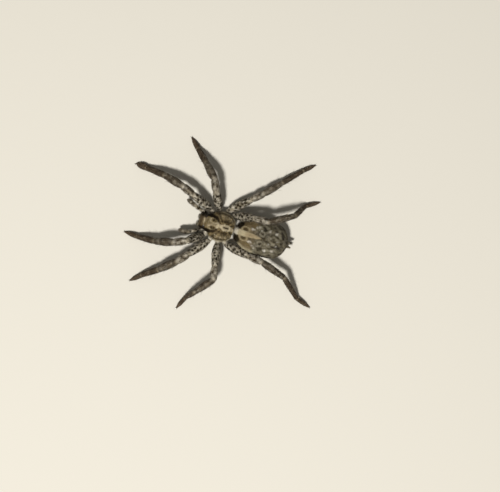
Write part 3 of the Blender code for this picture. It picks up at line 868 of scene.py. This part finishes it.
def limb_tones(limb, seed, darkness):
    """Cream femora with many dark spots, grey shins with pale streaks, and dark feet."""
    segment = limb["segment"][:, None]
    along = limb["along"][:, None]
    turn = limb["from_top"] + 0 * segment
    points = limb["points"]
    speck, fleck = mottle(points, 0.24, seed), mottle(points, 0.11, seed + 1)
    on_femur = ramp(segment, 0.95, 1.05) * (1 - ramp(segment, 1.95, 2.02))
    on_patella = ramp(segment, 1.98, 2.05) * (1 - ramp(segment, 2.95, 3.02))
    on_tibia = ramp(segment, 2.98, 3.05) * (1 - ramp(segment, 3.97, 4.03))
    on_foot = ramp(segment, 3.97, 4.03)
    underneath = ramp(np.abs(turn), 1.7, 2.4)
    spots = ramp(blots(points, 0.46, seed) + 0.25 * fleck, 0.27, 0.42) * (1 - 0.5 * underneath)
    smudges = ramp(blots(points, 0.5, seed + 2) + 0.35 * fleck, 0.2, 0.5)
    glints = ramp(blots(points, 0.6, seed + 3) + 0.3 * fleck, 0.35, 0.65) * (1 - underneath)
    lines = ramp(np.cos(7 * turn + 0.5 * speck) + 0.4 * fleck, 0.3, 0.9)
    knee_spot = bell(segment, 2.88, 0.1) * bell(turn, 0.15, 0.5)
    bands = bell(segment, 3.12, 0.12) + bell(segment, 3.55, 0.13) + 0.8 * bell(segment, 3.9, 0.1)
    rings = bell(segment, 4.1, 0.06) + bell(segment, 4.52, 0.05)
    return painted(
        LEG_TONES,
        "straw",
        ("cream", 0.8 * ramp(speck, -0.4, 0.4) + 0.4 * (1 - ramp(segment, 0.9, 1.1))),
        ("belly", 0.6 * underneath),
        ("spot", on_femur * spots),
        ("spot", 0.7 * (1 - ramp(segment, 0.9, 1.0)) * ramp(fleck, 0.2, 0.7)),
        ("grey", on_patella * 0.9),
        ("grey", on_tibia),
        ("dark", darkness * on_tibia * (0.35 + 0.3 * ramp(segment, 3.2, 4))),
        ("dark", on_patella * (0.15 * darkness + smudges * 0.9)),
        ("streak", (on_patella + 0.8 * on_tibia) * lines * 0.65 * ramp(speck, -0.6, 0.4)),
        ("dark", on_tibia * np.clip(bands, 0, 1) * ramp(speck, -0.7, 0.3) * 0.85),
        ("cream", (0.6 * on_patella + 0.2 * on_tibia) * glints),
        ("cream", knee_spot * 0.85),
        ("foot", on_foot),
        ("grey", on_foot * rings * 0.5),
        ("streak", on_foot * 0.35 * ramp(fleck + 0.4 * speck, 0.3, 0.9)),
        ("dark", on_foot * 0.6 * smudges),
        ("toe", ramp(segment, 5.2, 5.8) * 0.8),
        ("membrane", 0.4 * np.clip(limb["near_joint"], 0, 1)[:, None]),
    )


leg_lofts = {}
seed = 100
for side_name, side in SIDES.items():
    for number in (1, 2, 3, 4):
        name = f"leg_{number}_{side_name}"
        rings, start = [], zero + (0, 0, 1.7)
        for part in ("coxa", "femur", "shin", "foot"):
            found = rings_of(f"{name}_{part}", start)
            start = found[-1].mean(0)
            rings += found[1:] if rings else found
        limb = fine_loft(
            rings,
            LEG_POINTS_ROUND,
            LEG_RING_STEP,
            lambda place: eased(place, LEG_COAT),
            ends=(0.5, 0.9),
            soft=0.12,
        )
        limb = limb_waists(limb, LEG_JOINTS, JOINT_WAISTS)
        slim = 1 - TOE_TAPER * ramp(limb["segment"], 5.6, 6.0)[:, None, None]
        limb["points"] = limb["centre"][:, None] + (limb["points"] - limb["centre"][:, None]) * slim
        limb["points"][..., 2] = np.maximum(limb["points"][..., 2], SOLE_HEIGHT)
        seed += 2
        limb["tone"] = limb_tones(limb, seed, SHIN_DARKNESS[number])
        limb["lie"] = limb["way"][:, None, :]
        segment = limb["segment"][:, None]
        sole = ramp(np.abs(limb["from_top"]), 2.0, 2.6) * ramp(segment, 4.6, 5.0)
        length = eased(segment, FUR_LENGTHS)
        limb["fur"] = fur_at(length - 0.05 * sole, 27 + 22 * sole, 0.85 + 0.15 * sole)
        leg_lofts[name] = limb

palp_lofts = []
for side_name, side in SIDES.items():
    arm = rings_of(f"palp_{side_name}_arm", zero + (1.8, 1.1 * side, 1.8))
    tip = rings_of(f"palp_{side_name}_tip", arm[-1].mean(0))
    palp = fine_loft(arm + tip[1:], 26, 0.08, PALP_COAT, ends=(0.6, 0.9), soft=0.09)
    palp = limb_waists(palp, PALP_JOINTS, PALP_WAISTS)
    # The arm takes the tones of a leg's femur, and the last two segments those of patella and tibia.
    palp["segment"] = np.interp(palp["segment"], (0, 1, 2, 3, 4), (1, 1.5, 1.95, 2.9, 3.7))
    palp["tone"] = limb_tones(palp, 140 + side, 0.6)
    palp["lie"] = palp["way"][:, None, :]
    palp["fur"] = fur_at(0.22, 28, 1)
    palp["cell"] = (0.0, 0.5 + 0.24 * side - 0.2, 0.6, 0.5 + 0.24 * side + 0.2)
    palp_lofts.append(palp)

bag = fine_loft(
    rings_of("abdomen", zero + (-2.8, 0, 2.4)), ABDOMEN_ROUND, ABDOMEN_STEP, ABDOMEN_COAT, ends=(0.6, 0.6)
)
behind = (bag["along"] - bag["along"][0]) / (bag["along"][-1] - bag["along"][0])
behind = behind[:, None]
backbone = bag["way"].mean(0) / np.linalg.norm(bag["way"].mean(0))
beside = (bag["points"] - bag["centre"][0]) @ np.cross(backbone, (0, 0, 1))
over = np.cos(bag["from_top"]) + 0 * behind
on_back = ramp(over, -0.25, 0.15)
dent = np.zeros(beside.shape)
for share, off in MUSCLE_PITS:
    for side in SIDES.values():
        apart = np.hypot((behind - share) * bag["along"][-1], beside - off * side)
        dent += PIT_DEPTH * bell(apart, 0, PIT_WIDTH) * (over > 0)
bag["points"] = bag["points"] - outward(bag["points"]) * dent[..., None]

speck, fleck = mottle(bag["points"], 0.34, 7), mottle(bag["points"], 0.13, 8)
cloud = mottle(bag["points"], 0.8, 9)
rim = np.abs(beside) / np.abs(beside).max(1, keepdims=True)
rearward = zero[0] - bag["points"][..., 0]
across = bag["points"][..., 1] - zero[1] - BAG_MIDDLE
off = np.abs(across)
heart_edge = off - eased(rearward, HEART_MARK)
heart = 1 - ramp(heart_edge + 0.03 * speck, -0.05, 0.06)
front = 1 - ramp(rearward + 0.1 * cloud, 5.4, 6.2)
loop_at = np.hypot((rearward - HEART_LOOP[0]) / HEART_LOOP[2], (off - HEART_LOOP[1]) / HEART_LOOP[3])
wings = bell(loop_at, 1, 0.2) * ramp(heart_edge, -0.05, 0.05)
wings = np.maximum(wings, bell(off + 0.3 * (rearward - 4.7), 0.95, 0.07) * bell(rearward, 4.8, 0.3))
# Black patches on both sides of the heart mark's front: partly dark hair, partly painted shadow in the deep
# gap behind the head shield.
gap_shadow_end = 3.5 + 0.38 * ramp(off, 0.45, 0.8)
dark_hair_and_gap_shadow = (1 - ramp(off, 1.35, 1.6)) * (1 - ramp(rearward + 0.05 * speck - gap_shadow_end, -0.06, 0.06))
flank = bell(rim, 0.91, 0.09) * ramp(rearward, 3.1, 3.4) * (1 - ramp(rearward, 5.8, 6.3))
chevrons = np.sin(2 * math.pi * (rearward * 1.35 - 0.16 * off) + 0.5 * speck)
chevrons = ramp(chevrons, 0.2, 0.8) * ramp(rearward, 6.2, 6.8) * (1 - ramp(off, 1.2, 1.7))
from_ring = np.hypot(rearward - RING_SPOT[0], off - RING_SPOT[1]) + 0.05 * fleck
ring = bell(from_ring, RING_SPOT[2], 0.08)
ring_inside = 1 - ramp(from_ring, 0.1, 0.25)
ring_outside = bell(from_ring, RING_SPOT[2] + 0.2, 0.08)


def spotted(rows):
    """How much of the back these pairs of spots cover, from point to point."""
    cover = np.zeros(across.shape)
    for place_behind, place_off, size, longer in rows:
        for side in SIDES.values():
            # A pair isn't quite even, and no spot is quite round.
            drift = 0.06 * math.sin(9 * place_behind + side)
            apart = np.hypot((rearward - place_behind) / longer, across - (place_off + drift) * side)
            edge = size * (1 + 0.25 * side * drift) + 0.07 * fleck + 0.03 * speck - apart
            cover = np.maximum(cover, ramp(edge, -0.05, 0.05))
    return cover


bag["tone"] = painted(
    ABDOMEN_TONES,
    "belly",
    ("grey", ramp(over + 0.1 * cloud, -0.45, 0.1)),
    ("dark", on_back * 0.75 * ramp(cloud + 0.5 * speck, 0.0, 0.9)),
    ("olive", on_back * front * 0.92),
    ("dark", on_back * front * ramp(rearward, 4.6, 5.2) * (1 - ramp(off, 1.0, 1.3)) * 0.6),
    ("buff", on_back * front * 0.25 * ramp(speck, 0.15, 0.8)),
    ("dark", on_back * chevrons * 0.5),
    ("black", on_back * (1 - front) * ramp(speck + 0.7 * fleck, 0.5, 1.0) * 0.8),
    ("pale", on_back * (1 - front) * 0.9 * ramp(-speck + 0.6 * fleck, 0.3, 0.7)),
    ("cream", flank * 0.95),
    ("black", on_back * bell(heart_edge, 0.08, 0.08) * bell(rearward, 5.0, 0.9) * 0.85),
    ("black", on_back * (1 - ramp(loop_at, 0.4, 0.75)) * 0.6),
    # Painted shadow of the gap behind the head shield, over dark hair.
    ("black", dark_hair_and_gap_shadow * 0.97),
    ("buff", on_back * heart),
    ("buff", on_back * wings * 0.95),
    ("cream", on_back * heart * (1 - ramp(rearward, 4.1, 4.7)) * 0.6),
    ("white", on_back * heart * (1 - ramp(rearward, 3.1, 3.5)) * 0.85),
    ("brown", on_back * heart * bell(rearward, 5.4, 0.5) * bell(off, 0.05, 0.16) * 0.5),
    ("black", on_back * (ring_inside + ring_outside) * 0.6),
    ("pale", on_back * ring),
    ("black", on_back * spotted(DARK_SPOTS) * 0.85),
    ("white", on_back * spotted(BACK_SPOTS) * 0.85),
)
bag["lie"] = np.gradient(bag["points"], axis=0) * 20
# Long, raised hair at the front fills the gap to the head shield, black where the painted gap shadow lies
# under it.
fringe = (1 - ramp(behind, 0.04, 0.12)) * (0.15 + 0.85 * ramp(off, 0.25, 0.5))
bag["fur"] = fur_at(
    0.26 + 0.04 * ramp(behind, 0.0, 0.12) + 0.24 * fringe, 20 + 9 * ramp(behind, 0.6, 1) + 38 * fringe, 1
)

end_lofts = []
for node, cell in (
    ("pedicel", (0, 0.8, 0.3, 1)),
    ("spinneret_upper_left", (0.62, 0.0, 0.8, 0.2)),
    ("spinneret_upper_right", (0.62, 0.25, 0.8, 0.45)),
    ("spinneret_lower_left", (0.62, 0.5, 0.8, 0.7)),
    ("spinneret_lower_right", (0.62, 0.75, 0.8, 0.95)),
):
    small = fine_loft(rings_of(node, zero + (-1, 0, 2)), 22, 0.06, 0.04, ends=(0.2, 0.8))
    run = (small["along"] - small["along"][0]) / (small["along"][-1] - small["along"][0])
    # A spinneret narrows where its end segment starts.
    narrow = 1 - 0.12 * bell(run, 0.6, 0.06) * (node != "pedicel")
    centre = small["centre"][:, None]
    small["points"] = centre + (small["points"] - centre) * narrow[:, None, None]
    patch = mottle(small["points"], 0.12, 31)
    small["tone"] = painted(ABDOMEN_TONES, "grey", ("dark", 0.6 + 0.4 * patch))
    small["lie"] = small["way"][:, None, :]
    small["fur"] = fur_at(0.16, 24, 0 if node == "pedicel" else 1)
    small["cell"] = cell
    end_lofts.append(small)

skin_lofts = [*leg_lofts.values(), *palp_lofts, bag, *end_lofts]
skin = add_object("skin", loft_mesh("skin", skin_lofts), skin_material)
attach(skin, "root")
flesh = [f"{leg}_{part}" for leg in leg_lofts for part in ("coxa", "femur", "shin", "foot")]
flesh += [f"palp_{side}_{part}" for side in SIDES for part in ("arm", "tip")]
flesh += ["abdomen", "pedicel"]
flesh += [f"spinneret_{level}_{side}" for level in ("upper", "lower") for side in SIDES]
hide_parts(*flesh)


# ---------------------------------------------------------------- claws and bristles
# Each toe ends in a pair of small curved claws. Stiff dark bristles stand out from the legs, most of all on
# shins and feet, and finer hairs that feel moving air rise among them. All are single tapering spikes of
# cuticle, set on points with a direction and a length by one tree of nodes.
CLAW_LENGTH, CLAW_SPREAD_DEG, CLAW_TONE = 0.3, 26, "#1c130d"
CLAW_OFF_TIP, CLAW_LOWEST, CLAW_LIFT = 0.04, 0.09, 0.22
# Thickness and bend are shares of a spike's length.
CLAW_THICKNESS, CLAW_BEND = 0.1, 0.42
BRISTLE_THICKNESS, BRISTLE_BEND = 0.03, 0.12
FEELER_THICKNESS, FEELER_BEND = 0.014, 0.22
BRISTLE_ROOT_DEPTH, FLOOR_CLEARANCE, HIND_BRISTLES_LONGER = 0.03, 0.03, 1.15
BRISTLE_TONES = {"dark": "#3a2e23", "pale": "#a3977f"}
# Bristles along a leg: where by segment, degrees from the top, length, degrees it stands up.
BRISTLES = (
    (1.28, 6, 0.55, 42),
    (1.5, -24, 0.6, 42),
    (1.52, 28, 0.6, 42),
    (1.74, 4, 0.6, 42),
    (1.8, 66, 0.6, 46),
    (1.82, -64, 0.6, 46),
    (2.45, 85, 0.6, 48),
    (2.45, -85, 0.6, 48),
    (3.22, 75, 0.8, 50),
    (3.25, -75, 0.8, 50),
    (3.2, 150, 0.8, 48),
    (3.3, -150, 0.8, 48),
    (3.4, 8, 0.6, 42),
    (3.55, 148, 0.85, 50),
    (3.6, -148, 0.85, 50),
    (3.66, 78, 0.85, 50),
    (3.7, -78, 0.85, 50),
    (3.93, 145, 0.7, 50),
    (3.94, -145, 0.7, 50),
    (4.12, 72, 0.8, 48),
    (4.16, -72, 0.8, 48),
    (4.15, 145, 0.8, 46),
    (4.18, -145, 0.8, 46),
    (4.45, 80, 0.75, 48),
    (4.5, -80, 0.75, 48),
    (4.52, 145, 0.7, 44),
    (4.55, -145, 0.7, 44),
    (4.94, 70, 0.55, 42),
    (4.94, -70, 0.55, 42),
    (4.95, 150, 0.5, 38),
    (4.95, -150, 0.5, 38),
)
FEELERS_A_LEG, FEELER_LENGTHS, FEELER_STAND_DEG = 22, (0.34, 0.56), (55, 80)


def unit_spike(tree, sides, steps, thickness, bend):
    """A pointed spike of length 1 along +X that bends down as it runs, closed at its root."""
    cone = add_node(
        tree,
        "GeometryNodeMeshCone",
        {"Vertices": sides, "Side Segments": steps, "Radius Top": 0, "Radius Bottom": thickness, "Depth": 1},
        fill_type="NGON",
    )
    lying = add_node(
        tree, "GeometryNodeTransform", {"Geometry": cone.outputs["Mesh"], "Rotation": (0, math.pi / 2, 0)}
    )
    place = add_node(tree, "GeometryNodeInputPosition")
    run = add_node(tree, "ShaderNodeSeparateXYZ", {0: place.outputs[0]})
    squared = add_node(
        tree, "ShaderNodeMath", {0: run.outputs["X"], 1: run.outputs["X"]}, operation="MULTIPLY"
    )
    fall = add_node(tree, "ShaderNodeMath", {0: squared.outputs[0], 1: bend}, operation="MULTIPLY")
    drop = add_node(tree, "ShaderNodeMath", {0: fall.outputs[0], 1: -1.0}, operation="MULTIPLY")
    shift = add_node(tree, "ShaderNodeCombineXYZ", {"Z": drop.outputs[0]})
    return add_node(
        tree,
        "GeometryNodeSetPosition",
        {"Geometry": lying.outputs["Geometry"], "Offset": shift.outputs["Vector"]},
    ).outputs["Geometry"]


def new_tree(name, result, sockets):
    """A tree of geometry nodes with those named inputs, and its two end nodes."""
    tree = bpy.data.node_groups.new(name, "GeometryNodeTree")
    for socket, kind in sockets:
        tree.interface.new_socket(socket, in_out="INPUT", socket_type=f"NodeSocket{kind}")
    tree.interface.new_socket(result, in_out="OUTPUT", socket_type="NodeSocketGeometry")
    return tree, tree.nodes.new("NodeGroupInput").outputs, tree.nodes.new("NodeGroupOutput")


def grown(source, name, tree, values):
    """A plain mesh of what the tree grows on a source mesh, with the tree's inputs set by name."""
    carrier = add_object(name, source)
    modifier = carrier.modifiers.new("grow", "NODES")
    modifier.node_group = tree
    ids = {s.name: s.identifier for s in tree.interface.items_tree if s.in_out == "INPUT"}
    for key, value in values.items():
        modifier[ids[key]] = value
    seen = carrier.evaluated_get(bpy.context.evaluated_depsgraph_get())
    mesh = bpy.data.meshes.new_from_object(seen)
    mesh.name = name
    carrier.modifiers.remove(modifier)
    carrier.data = mesh
    bpy.data.meshes.remove(source)
    return carrier


spike_tree, given, out = new_tree(
    "spikes_on_points",
    "Spikes",
    (("Points", "Geometry"), ("Thickness", "Float"), ("Bend", "Float"), ("Spike Material", "Material")),
)
spike = unit_spike(spike_tree, 5, 5, given["Thickness"], given["Bend"])
stored = {}
for key, kind in (("lie", "FLOAT_VECTOR"), ("upward", "FLOAT_VECTOR"), ("size", "FLOAT")):
    reader = add_node(spike_tree, "GeometryNodeInputNamedAttribute", {"Name": key}, data_type=kind)
    stored[key] = reader.outputs["Attribute"]
stance = add_node(
    spike_tree,
    "FunctionNodeAxesToRotation",
    {"Primary Axis": stored["lie"], "Secondary Axis": stored["upward"]},
    primary_axis="X",
    secondary_axis="Z",
)
placed = add_node(
    spike_tree,
    "GeometryNodeInstanceOnPoints",
    {
        "Points": given["Points"],
        "Instance": spike,
        "Rotation": stance.outputs["Rotation"],
        "Scale": stored["size"],
    },
)
solid = add_node(spike_tree, "GeometryNodeRealizeInstances", {"Geometry": placed.outputs["Instances"]})
finished = add_node(
    spike_tree,
    "GeometryNodeSetMaterial",
    {"Geometry": solid.outputs["Geometry"], "Material": given["Spike Material"]},
)
spike_tree.links.new(finished.outputs["Geometry"], out.inputs["Spikes"])


def spikes(name, rows, thickness, bend, material):
    """Spikes from rows of (root, direction, upward, length, hex colour)."""
    mesh = bpy.data.meshes.new(f"{name}_roots")
    mesh.from_pydata([tuple(np.array(row[0]) * MM) for row in rows], [], [])
    for k, key in ((1, "lie"), (2, "upward")):
        layer = mesh.attributes.new(key, "FLOAT_VECTOR", "POINT")
        layer.data.foreach_set("vector", np.array([row[k] for row in rows], float).ravel())
    sizes = mesh.attributes.new("size", "FLOAT", "POINT")
    sizes.data.foreach_set("value", [row[3] * MM for row in rows])
    marking = mesh.color_attributes.new("marking", "FLOAT_COLOR", "POINT")
    marking.data.foreach_set("color", np.array([linear(row[4]) for row in rows]).ravel())
    made = grown(
        mesh, name, spike_tree, {"Thickness": thickness, "Bend": bend, "Spike Material": material}
    )
    made.data.shade_smooth()
    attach(made, "root")
    return made


# Bristle cuticle, drawn out thin and stiff: smooth, with a soft gloss along each bristle.
bristle_shell, tree, shader = new_material("stiff_bristle_cuticle", Roughness=0.36, Specular_IOR_Level=0.5)
tree.links.new(marked_colour(tree, 0.3, 0.08, 0.18), shader.inputs["Base Color"])


def on_limb(limb, segment, from_top_deg):
    """The skin's point, its outward normal and the limb's way, at a place along and round the limb."""
    ring = int(np.abs(limb["segment"] - segment).argmin())
    column = int(np.abs(limb["from_top"][0] - math.radians(from_top_deg)).argmin())
    return limb["points"][ring, column], limb["normals"][ring, column], limb["way"][ring]


draw = np.random.default_rng(5)
claw_rows, bristle_rows, feeler_rows = [], [], []
for name, limb in leg_lofts.items():
    limb["normals"] = outward(limb["points"])
    hind = name.startswith("leg_4")
    for segment, from_top, length, stand in BRISTLES:
        root, normal, way = on_limb(limb, segment + draw.uniform(-0.03, 0.03), from_top)
        rise = math.radians(stand + draw.uniform(-6, 6))
        direction = way * math.cos(rise) + normal * math.sin(rise)
        length *= draw.uniform(0.9, 1.12) * (HIND_BRISTLES_LONGER if hind else 1)
        if root[2] + direction[2] * length < FLOOR_CLEARANCE:
            direction[2] = max(direction[2], (FLOOR_CLEARANCE - root[2]) / length)
        # On the hind legs, the bristles at an even number of degrees from the top are pale: a painted
        # highlight, for the shine of those spines in strong light.
        shade = BRISTLE_TONES["pale" if hind and from_top % 2 == 0 else "dark"]
        bristle_rows.append((root - normal * BRISTLE_ROOT_DEPTH, direction, normal, length, shade))
    for _ in range(FEELERS_A_LEG):
        root, normal, way = on_limb(limb, draw.uniform(3.2, 5.6), draw.uniform(-60, 60))
        rise = math.radians(draw.uniform(*FEELER_STAND_DEG))
        direction = way * math.cos(rise) + normal * math.sin(rise)
        length = draw.uniform(*FEELER_LENGTHS)
        feeler_rows.append((root, direction, normal, length, BRISTLE_TONES["pale"]))
    toe, way = limb["centre"][-1], limb["way"][-1]
    aside = np.cross((0, 0, 1), way)
    aside /= np.linalg.norm(aside)
    for side in SIDES.values():
        spread = math.radians(CLAW_SPREAD_DEG) * side
        direction = way * math.cos(spread) + aside * math.sin(spread)
        direction[2] = CLAW_LIFT
        root = toe + aside * side * CLAW_OFF_TIP - way * CLAW_OFF_TIP
        root[2] = max(root[2], CLAW_LOWEST)
        claw_rows.append((root, direction, (0, 0, 1), CLAW_LENGTH, CLAW_TONE))

for name, rows, thickness, bend, shell, slot in (
    ("toe_claws", claw_rows, CLAW_THICKNESS, CLAW_BEND, fang_shell, "fang"),
    ("leg_bristles", bristle_rows, BRISTLE_THICKNESS, BRISTLE_BEND, bristle_shell, "foot"),
    ("feeler_hairs", feeler_rows, FEELER_THICKNESS, FEELER_BEND, bristle_shell, "leg"),
):
    spikes(name, rows, thickness, bend, shell)


# ---------------------------------------------------------------- coat
# A wolf spider is furry all over. Short hairs lie flat along its limbs and back, overlapping like thatch, and
# carry the markings of the skin under them. They are laid in tufts of three bent hairs, evenly scattered over
# each skin. The hairs' length and lift are stored on the skin, and are least on the head and the feet.
TUFT = ((0, 0, 0, 1), (0.34, 0.1, 0.05, 0.86), (-0.3, 0.04, -0.05, 0.93))  # turn, rise, shift, size
HAIR_THICKNESS, HAIR_BEND = 0.038, 0.24  # as shares of its length
CROWDING = 1.4  # how thickly roots are tried, before those closer than the spacing are dropped
PATCH = 0.003  # how much of the map one tuft covers
TURN_JITTER, LIFT_JITTER, LENGTH_JITTER = 0.42, (0.55, 1.5), (0.72, 1.25)
HAIR_SHEEN = "#b4946a"
ROOT_SHADE, TIP_SHADE, TUFT_SHADES = 0.7, 1.15, (0.6, 1.32)
# Millimetres between tufts.
SPACING = {
    "shield": 0.07,
    "back": 0.082,
    "belly": 0.105,
    "leg": 0.084,
    "palps": 0.08,
    "jaws": 0.085,
    "underside": 0.13,
    "spinnerets": 0.07,
}

coat_tree, given, out = new_tree(
    "tufts_over_skin",
    "Coat",
    (
        ("Skin", "Geometry"),
        ("Spacing", "Float"),
        ("Hair Thickness", "Float"),
        ("Hair Bend", "Float"),
        ("Hair Material", "Material"),
        ("Seed", "Int"),
    ),
)
hair = unit_spike(coat_tree, 3, 2, given["Hair Thickness"], given["Hair Bend"])
# Each hair's own small map: along it, and across it.
place = add_node(coat_tree, "GeometryNodeInputPosition")
place = add_node(coat_tree, "ShaderNodeSeparateXYZ", {0: place.outputs[0]})
width = add_node(coat_tree, "ShaderNodeMath", {0: given["Hair Thickness"], 1: 2.0}, operation="MULTIPLY")
across = add_node(
    coat_tree, "ShaderNodeMath", {0: place.outputs["Y"], 1: width.outputs[0]}, operation="DIVIDE"
)
centred = add_node(coat_tree, "ShaderNodeCombineXYZ", {"X": place.outputs["X"], "Y": across.outputs[0]})
hair = add_node(
    coat_tree,
    "GeometryNodeStoreNamedAttribute",
    {"Geometry": hair, "Name": "strand", "Value": centred.outputs[0]},
    data_type="FLOAT_VECTOR",
    domain="POINT",
).outputs["Geometry"]
tuft = add_node(coat_tree, "GeometryNodeJoinGeometry")
for turn, lift, shift, size in TUFT:
    copy = add_node(
        coat_tree,
        "GeometryNodeTransform",
        {"Geometry": hair, "Rotation": (0, -lift, turn), "Translation": (0, shift, 0), "Scale": (size,) * 3},
    )
    coat_tree.links.new(copy.outputs["Geometry"], tuft.inputs["Geometry"])
stored = {}
for key in ("fur", "lie", "strand", "Chart"):
    reader = add_node(
        coat_tree, "GeometryNodeInputNamedAttribute", {"Name": key}, data_type="FLOAT_VECTOR"
    )
    stored[key] = reader.outputs["Attribute"]
fur = add_node(coat_tree, "ShaderNodeSeparateXYZ", {0: stored["fur"]})
closest = add_node(coat_tree, "ShaderNodeMath", {0: CROWDING, 1: given["Spacing"]}, operation="DIVIDE")
densest = add_node(
    coat_tree, "ShaderNodeMath", {0: closest.outputs[0], 1: closest.outputs[0]}, operation="MULTIPLY"
)
roots = add_node(
    coat_tree,
    "GeometryNodeDistributePointsOnFaces",
    {
        "Mesh": given["Skin"],
        "Distance Min": given["Spacing"],
        "Density Max": densest.outputs[0],
        "Density Factor": fur.outputs["Z"],
        "Seed": given["Seed"],
    },
    distribute_method="POISSON",
)
shade = add_node(
    coat_tree, "FunctionNodeRandomValue", {2: 0.0, 3: 1.0, "Seed": 11}, data_type="FLOAT"
).outputs[1]
shaded = add_node(
    coat_tree,
    "GeometryNodeStoreNamedAttribute",
    {"Geometry": roots.outputs["Points"], "Name": "shade", "Value": shade},
    data_type="FLOAT",
    domain="POINT",
)
lying = add_node(
    coat_tree,
    "FunctionNodeAxesToRotation",
    {"Primary Axis": roots.outputs["Normal"], "Secondary Axis": stored["lie"]},
    primary_axis="Z",
    secondary_axis="X",
)
turn = add_node(
    coat_tree, "FunctionNodeRandomValue", {2: -TURN_JITTER, 3: TURN_JITTER, "Seed": 12}, data_type="FLOAT"
).outputs[1]
vary = add_node(
    coat_tree,
    "FunctionNodeRandomValue",
    {2: -LIFT_JITTER[0], 3: -LIFT_JITTER[1], "Seed": 13},
    data_type="FLOAT",
).outputs[1]
lift = add_node(coat_tree, "ShaderNodeMath", {0: fur.outputs["Y"]}, operation="RADIANS")
tilt = add_node(coat_tree, "ShaderNodeMath", {0: lift.outputs[0], 1: vary}, operation="MULTIPLY")
lean = add_node(coat_tree, "ShaderNodeCombineXYZ", {"Y": tilt.outputs[0], "Z": turn})
lean = add_node(coat_tree, "FunctionNodeEulerToRotation", {0: lean.outputs[0]})
turned = add_node(
    coat_tree,
    "FunctionNodeRotateRotation",
    {"Rotation": lying.outputs["Rotation"], "Rotate By": lean.outputs[0]},
    rotation_space="LOCAL",
)
size = add_node(
    coat_tree,
    "FunctionNodeRandomValue",
    {2: LENGTH_JITTER[0] * MM, 3: LENGTH_JITTER[1] * MM, "Seed": 14},
    data_type="FLOAT",
).outputs[1]
length = add_node(coat_tree, "ShaderNodeMath", {0: fur.outputs["X"], 1: size}, operation="MULTIPLY")
laid = add_node(
    coat_tree,
    "GeometryNodeInstanceOnPoints",
    {
        "Points": shaded.outputs["Geometry"],
        "Instance": tuft.outputs["Geometry"],
        "Rotation": turned.outputs["Rotation"],
        "Scale": length.outputs[0],
    },
)
solid = add_node(coat_tree, "GeometryNodeRealizeInstances", {"Geometry": laid.outputs["Instances"]})
patch = add_node(
    coat_tree, "ShaderNodeVectorMath", {0: stored["strand"], "Scale": PATCH}, operation="SCALE"
)
mapped = add_node(
    coat_tree, "ShaderNodeVectorMath", {0: stored["Chart"], 1: patch.outputs[0]}, operation="ADD"
)
kept = add_node(
    coat_tree,
    "GeometryNodeStoreNamedAttribute",
    {"Geometry": solid.outputs["Geometry"], "Name": "OFBake", "Value": mapped.outputs[0]},
    data_type="FLOAT2",
    domain="CORNER",
).outputs["Geometry"]
for key in ("lie", "fur", "Chart", "Run"):
    kept = add_node(
        coat_tree, "GeometryNodeRemoveAttribute", {"Geometry": kept, "Name": key}
    ).outputs["Geometry"]
finished = add_node(
    coat_tree, "GeometryNodeSetMaterial", {"Geometry": kept, "Material": given["Hair Material"]}
)
coat_tree.links.new(finished.outputs["Geometry"], out.inputs["Coat"])

# Hair of hollow cuticle: a soft warm sheen, no hard gloss, darker at its root than at its tip, and no two
# tufts quite of one tone.
hair_material, tree, shader = new_material(
    "fine_flat_hair", Roughness=0.7, Specular_IOR_Level=0.16, Specular_Tint=linear(HAIR_SHEEN)
)
strand = add_node(tree, "ShaderNodeAttribute", attribute_name="strand")
strand = add_node(tree, "ShaderNodeSeparateXYZ", {0: strand.outputs["Vector"]})
to_tip = add_node(tree, "ShaderNodeMapRange", {"Value": strand.outputs["X"], 3: ROOT_SHADE, 4: TIP_SHADE})
shade = add_node(tree, "ShaderNodeAttribute", attribute_name="shade")
own_shade = add_node(
    tree, "ShaderNodeMapRange", {"Value": shade.outputs["Fac"], 3: TUFT_SHADES[0], 4: TUFT_SHADES[1]}
)
both = add_node(
    tree,
    "ShaderNodeMath",
    {0: to_tip.outputs["Result"], 1: own_shade.outputs["Result"]},
    operation="MULTIPLY",
)
toned = add_node(
    tree,
    "ShaderNodeVectorMath",
    {0: marked_colour(tree, 0.2, 0.06, 0.12), "Scale": both.outputs[0]},
    operation="SCALE",
)
tree.links.new(toned.outputs["Vector"], shader.inputs["Base Color"])


def lay_coat(name, lofts, spacing, cover=1):
    """A coat over some lofts, with the tufts' spacing in mm. cover is the share of it kept at each point."""
    parts = []
    for loft in lofts:
        fur = np.broadcast_to(loft["fur"], loft["points"].shape).copy()
        fur[..., 2] *= cover
        parts.append({**loft, "fur": fur})
    values = {
        "Spacing": spacing * MM,
        "Hair Thickness": HAIR_THICKNESS,
        "Hair Bend": HAIR_BEND,
        "Hair Material": hair_material,
        "Seed": len(name),
    }
    coat = grown(loft_mesh(f"{name}_roots", parts), name, coat_tree, values)
    coat.data.shade_smooth()
    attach(coat, "root")
    return coat


jaw_halves = []
for side_name, side in SIDES.items():
    start = 0 if side > 0 else 0.5
    jaw_halves.append({**jaw_lofts[side_name], "cell": (start, 0, start + 0.45, 1)})

lay_coat("coat_shield", [shield_loft], SPACING["shield"])
lay_coat("coat_back", [bag], SPACING["back"], on_back)
lay_coat("coat_belly", [bag], SPACING["belly"], 1 - on_back)
for name, limb in leg_lofts.items():
    lay_coat(f"coat_{name}", [limb], SPACING["leg"])
lay_coat("coat_palps", palp_lofts, SPACING["palps"])
lay_coat("coat_jaws", jaw_halves, SPACING["jaws"])
lay_coat("coat_underside", under_lofts, SPACING["underside"])
lay_coat("coat_spinnerets", end_lofts, SPACING["spinnerets"])
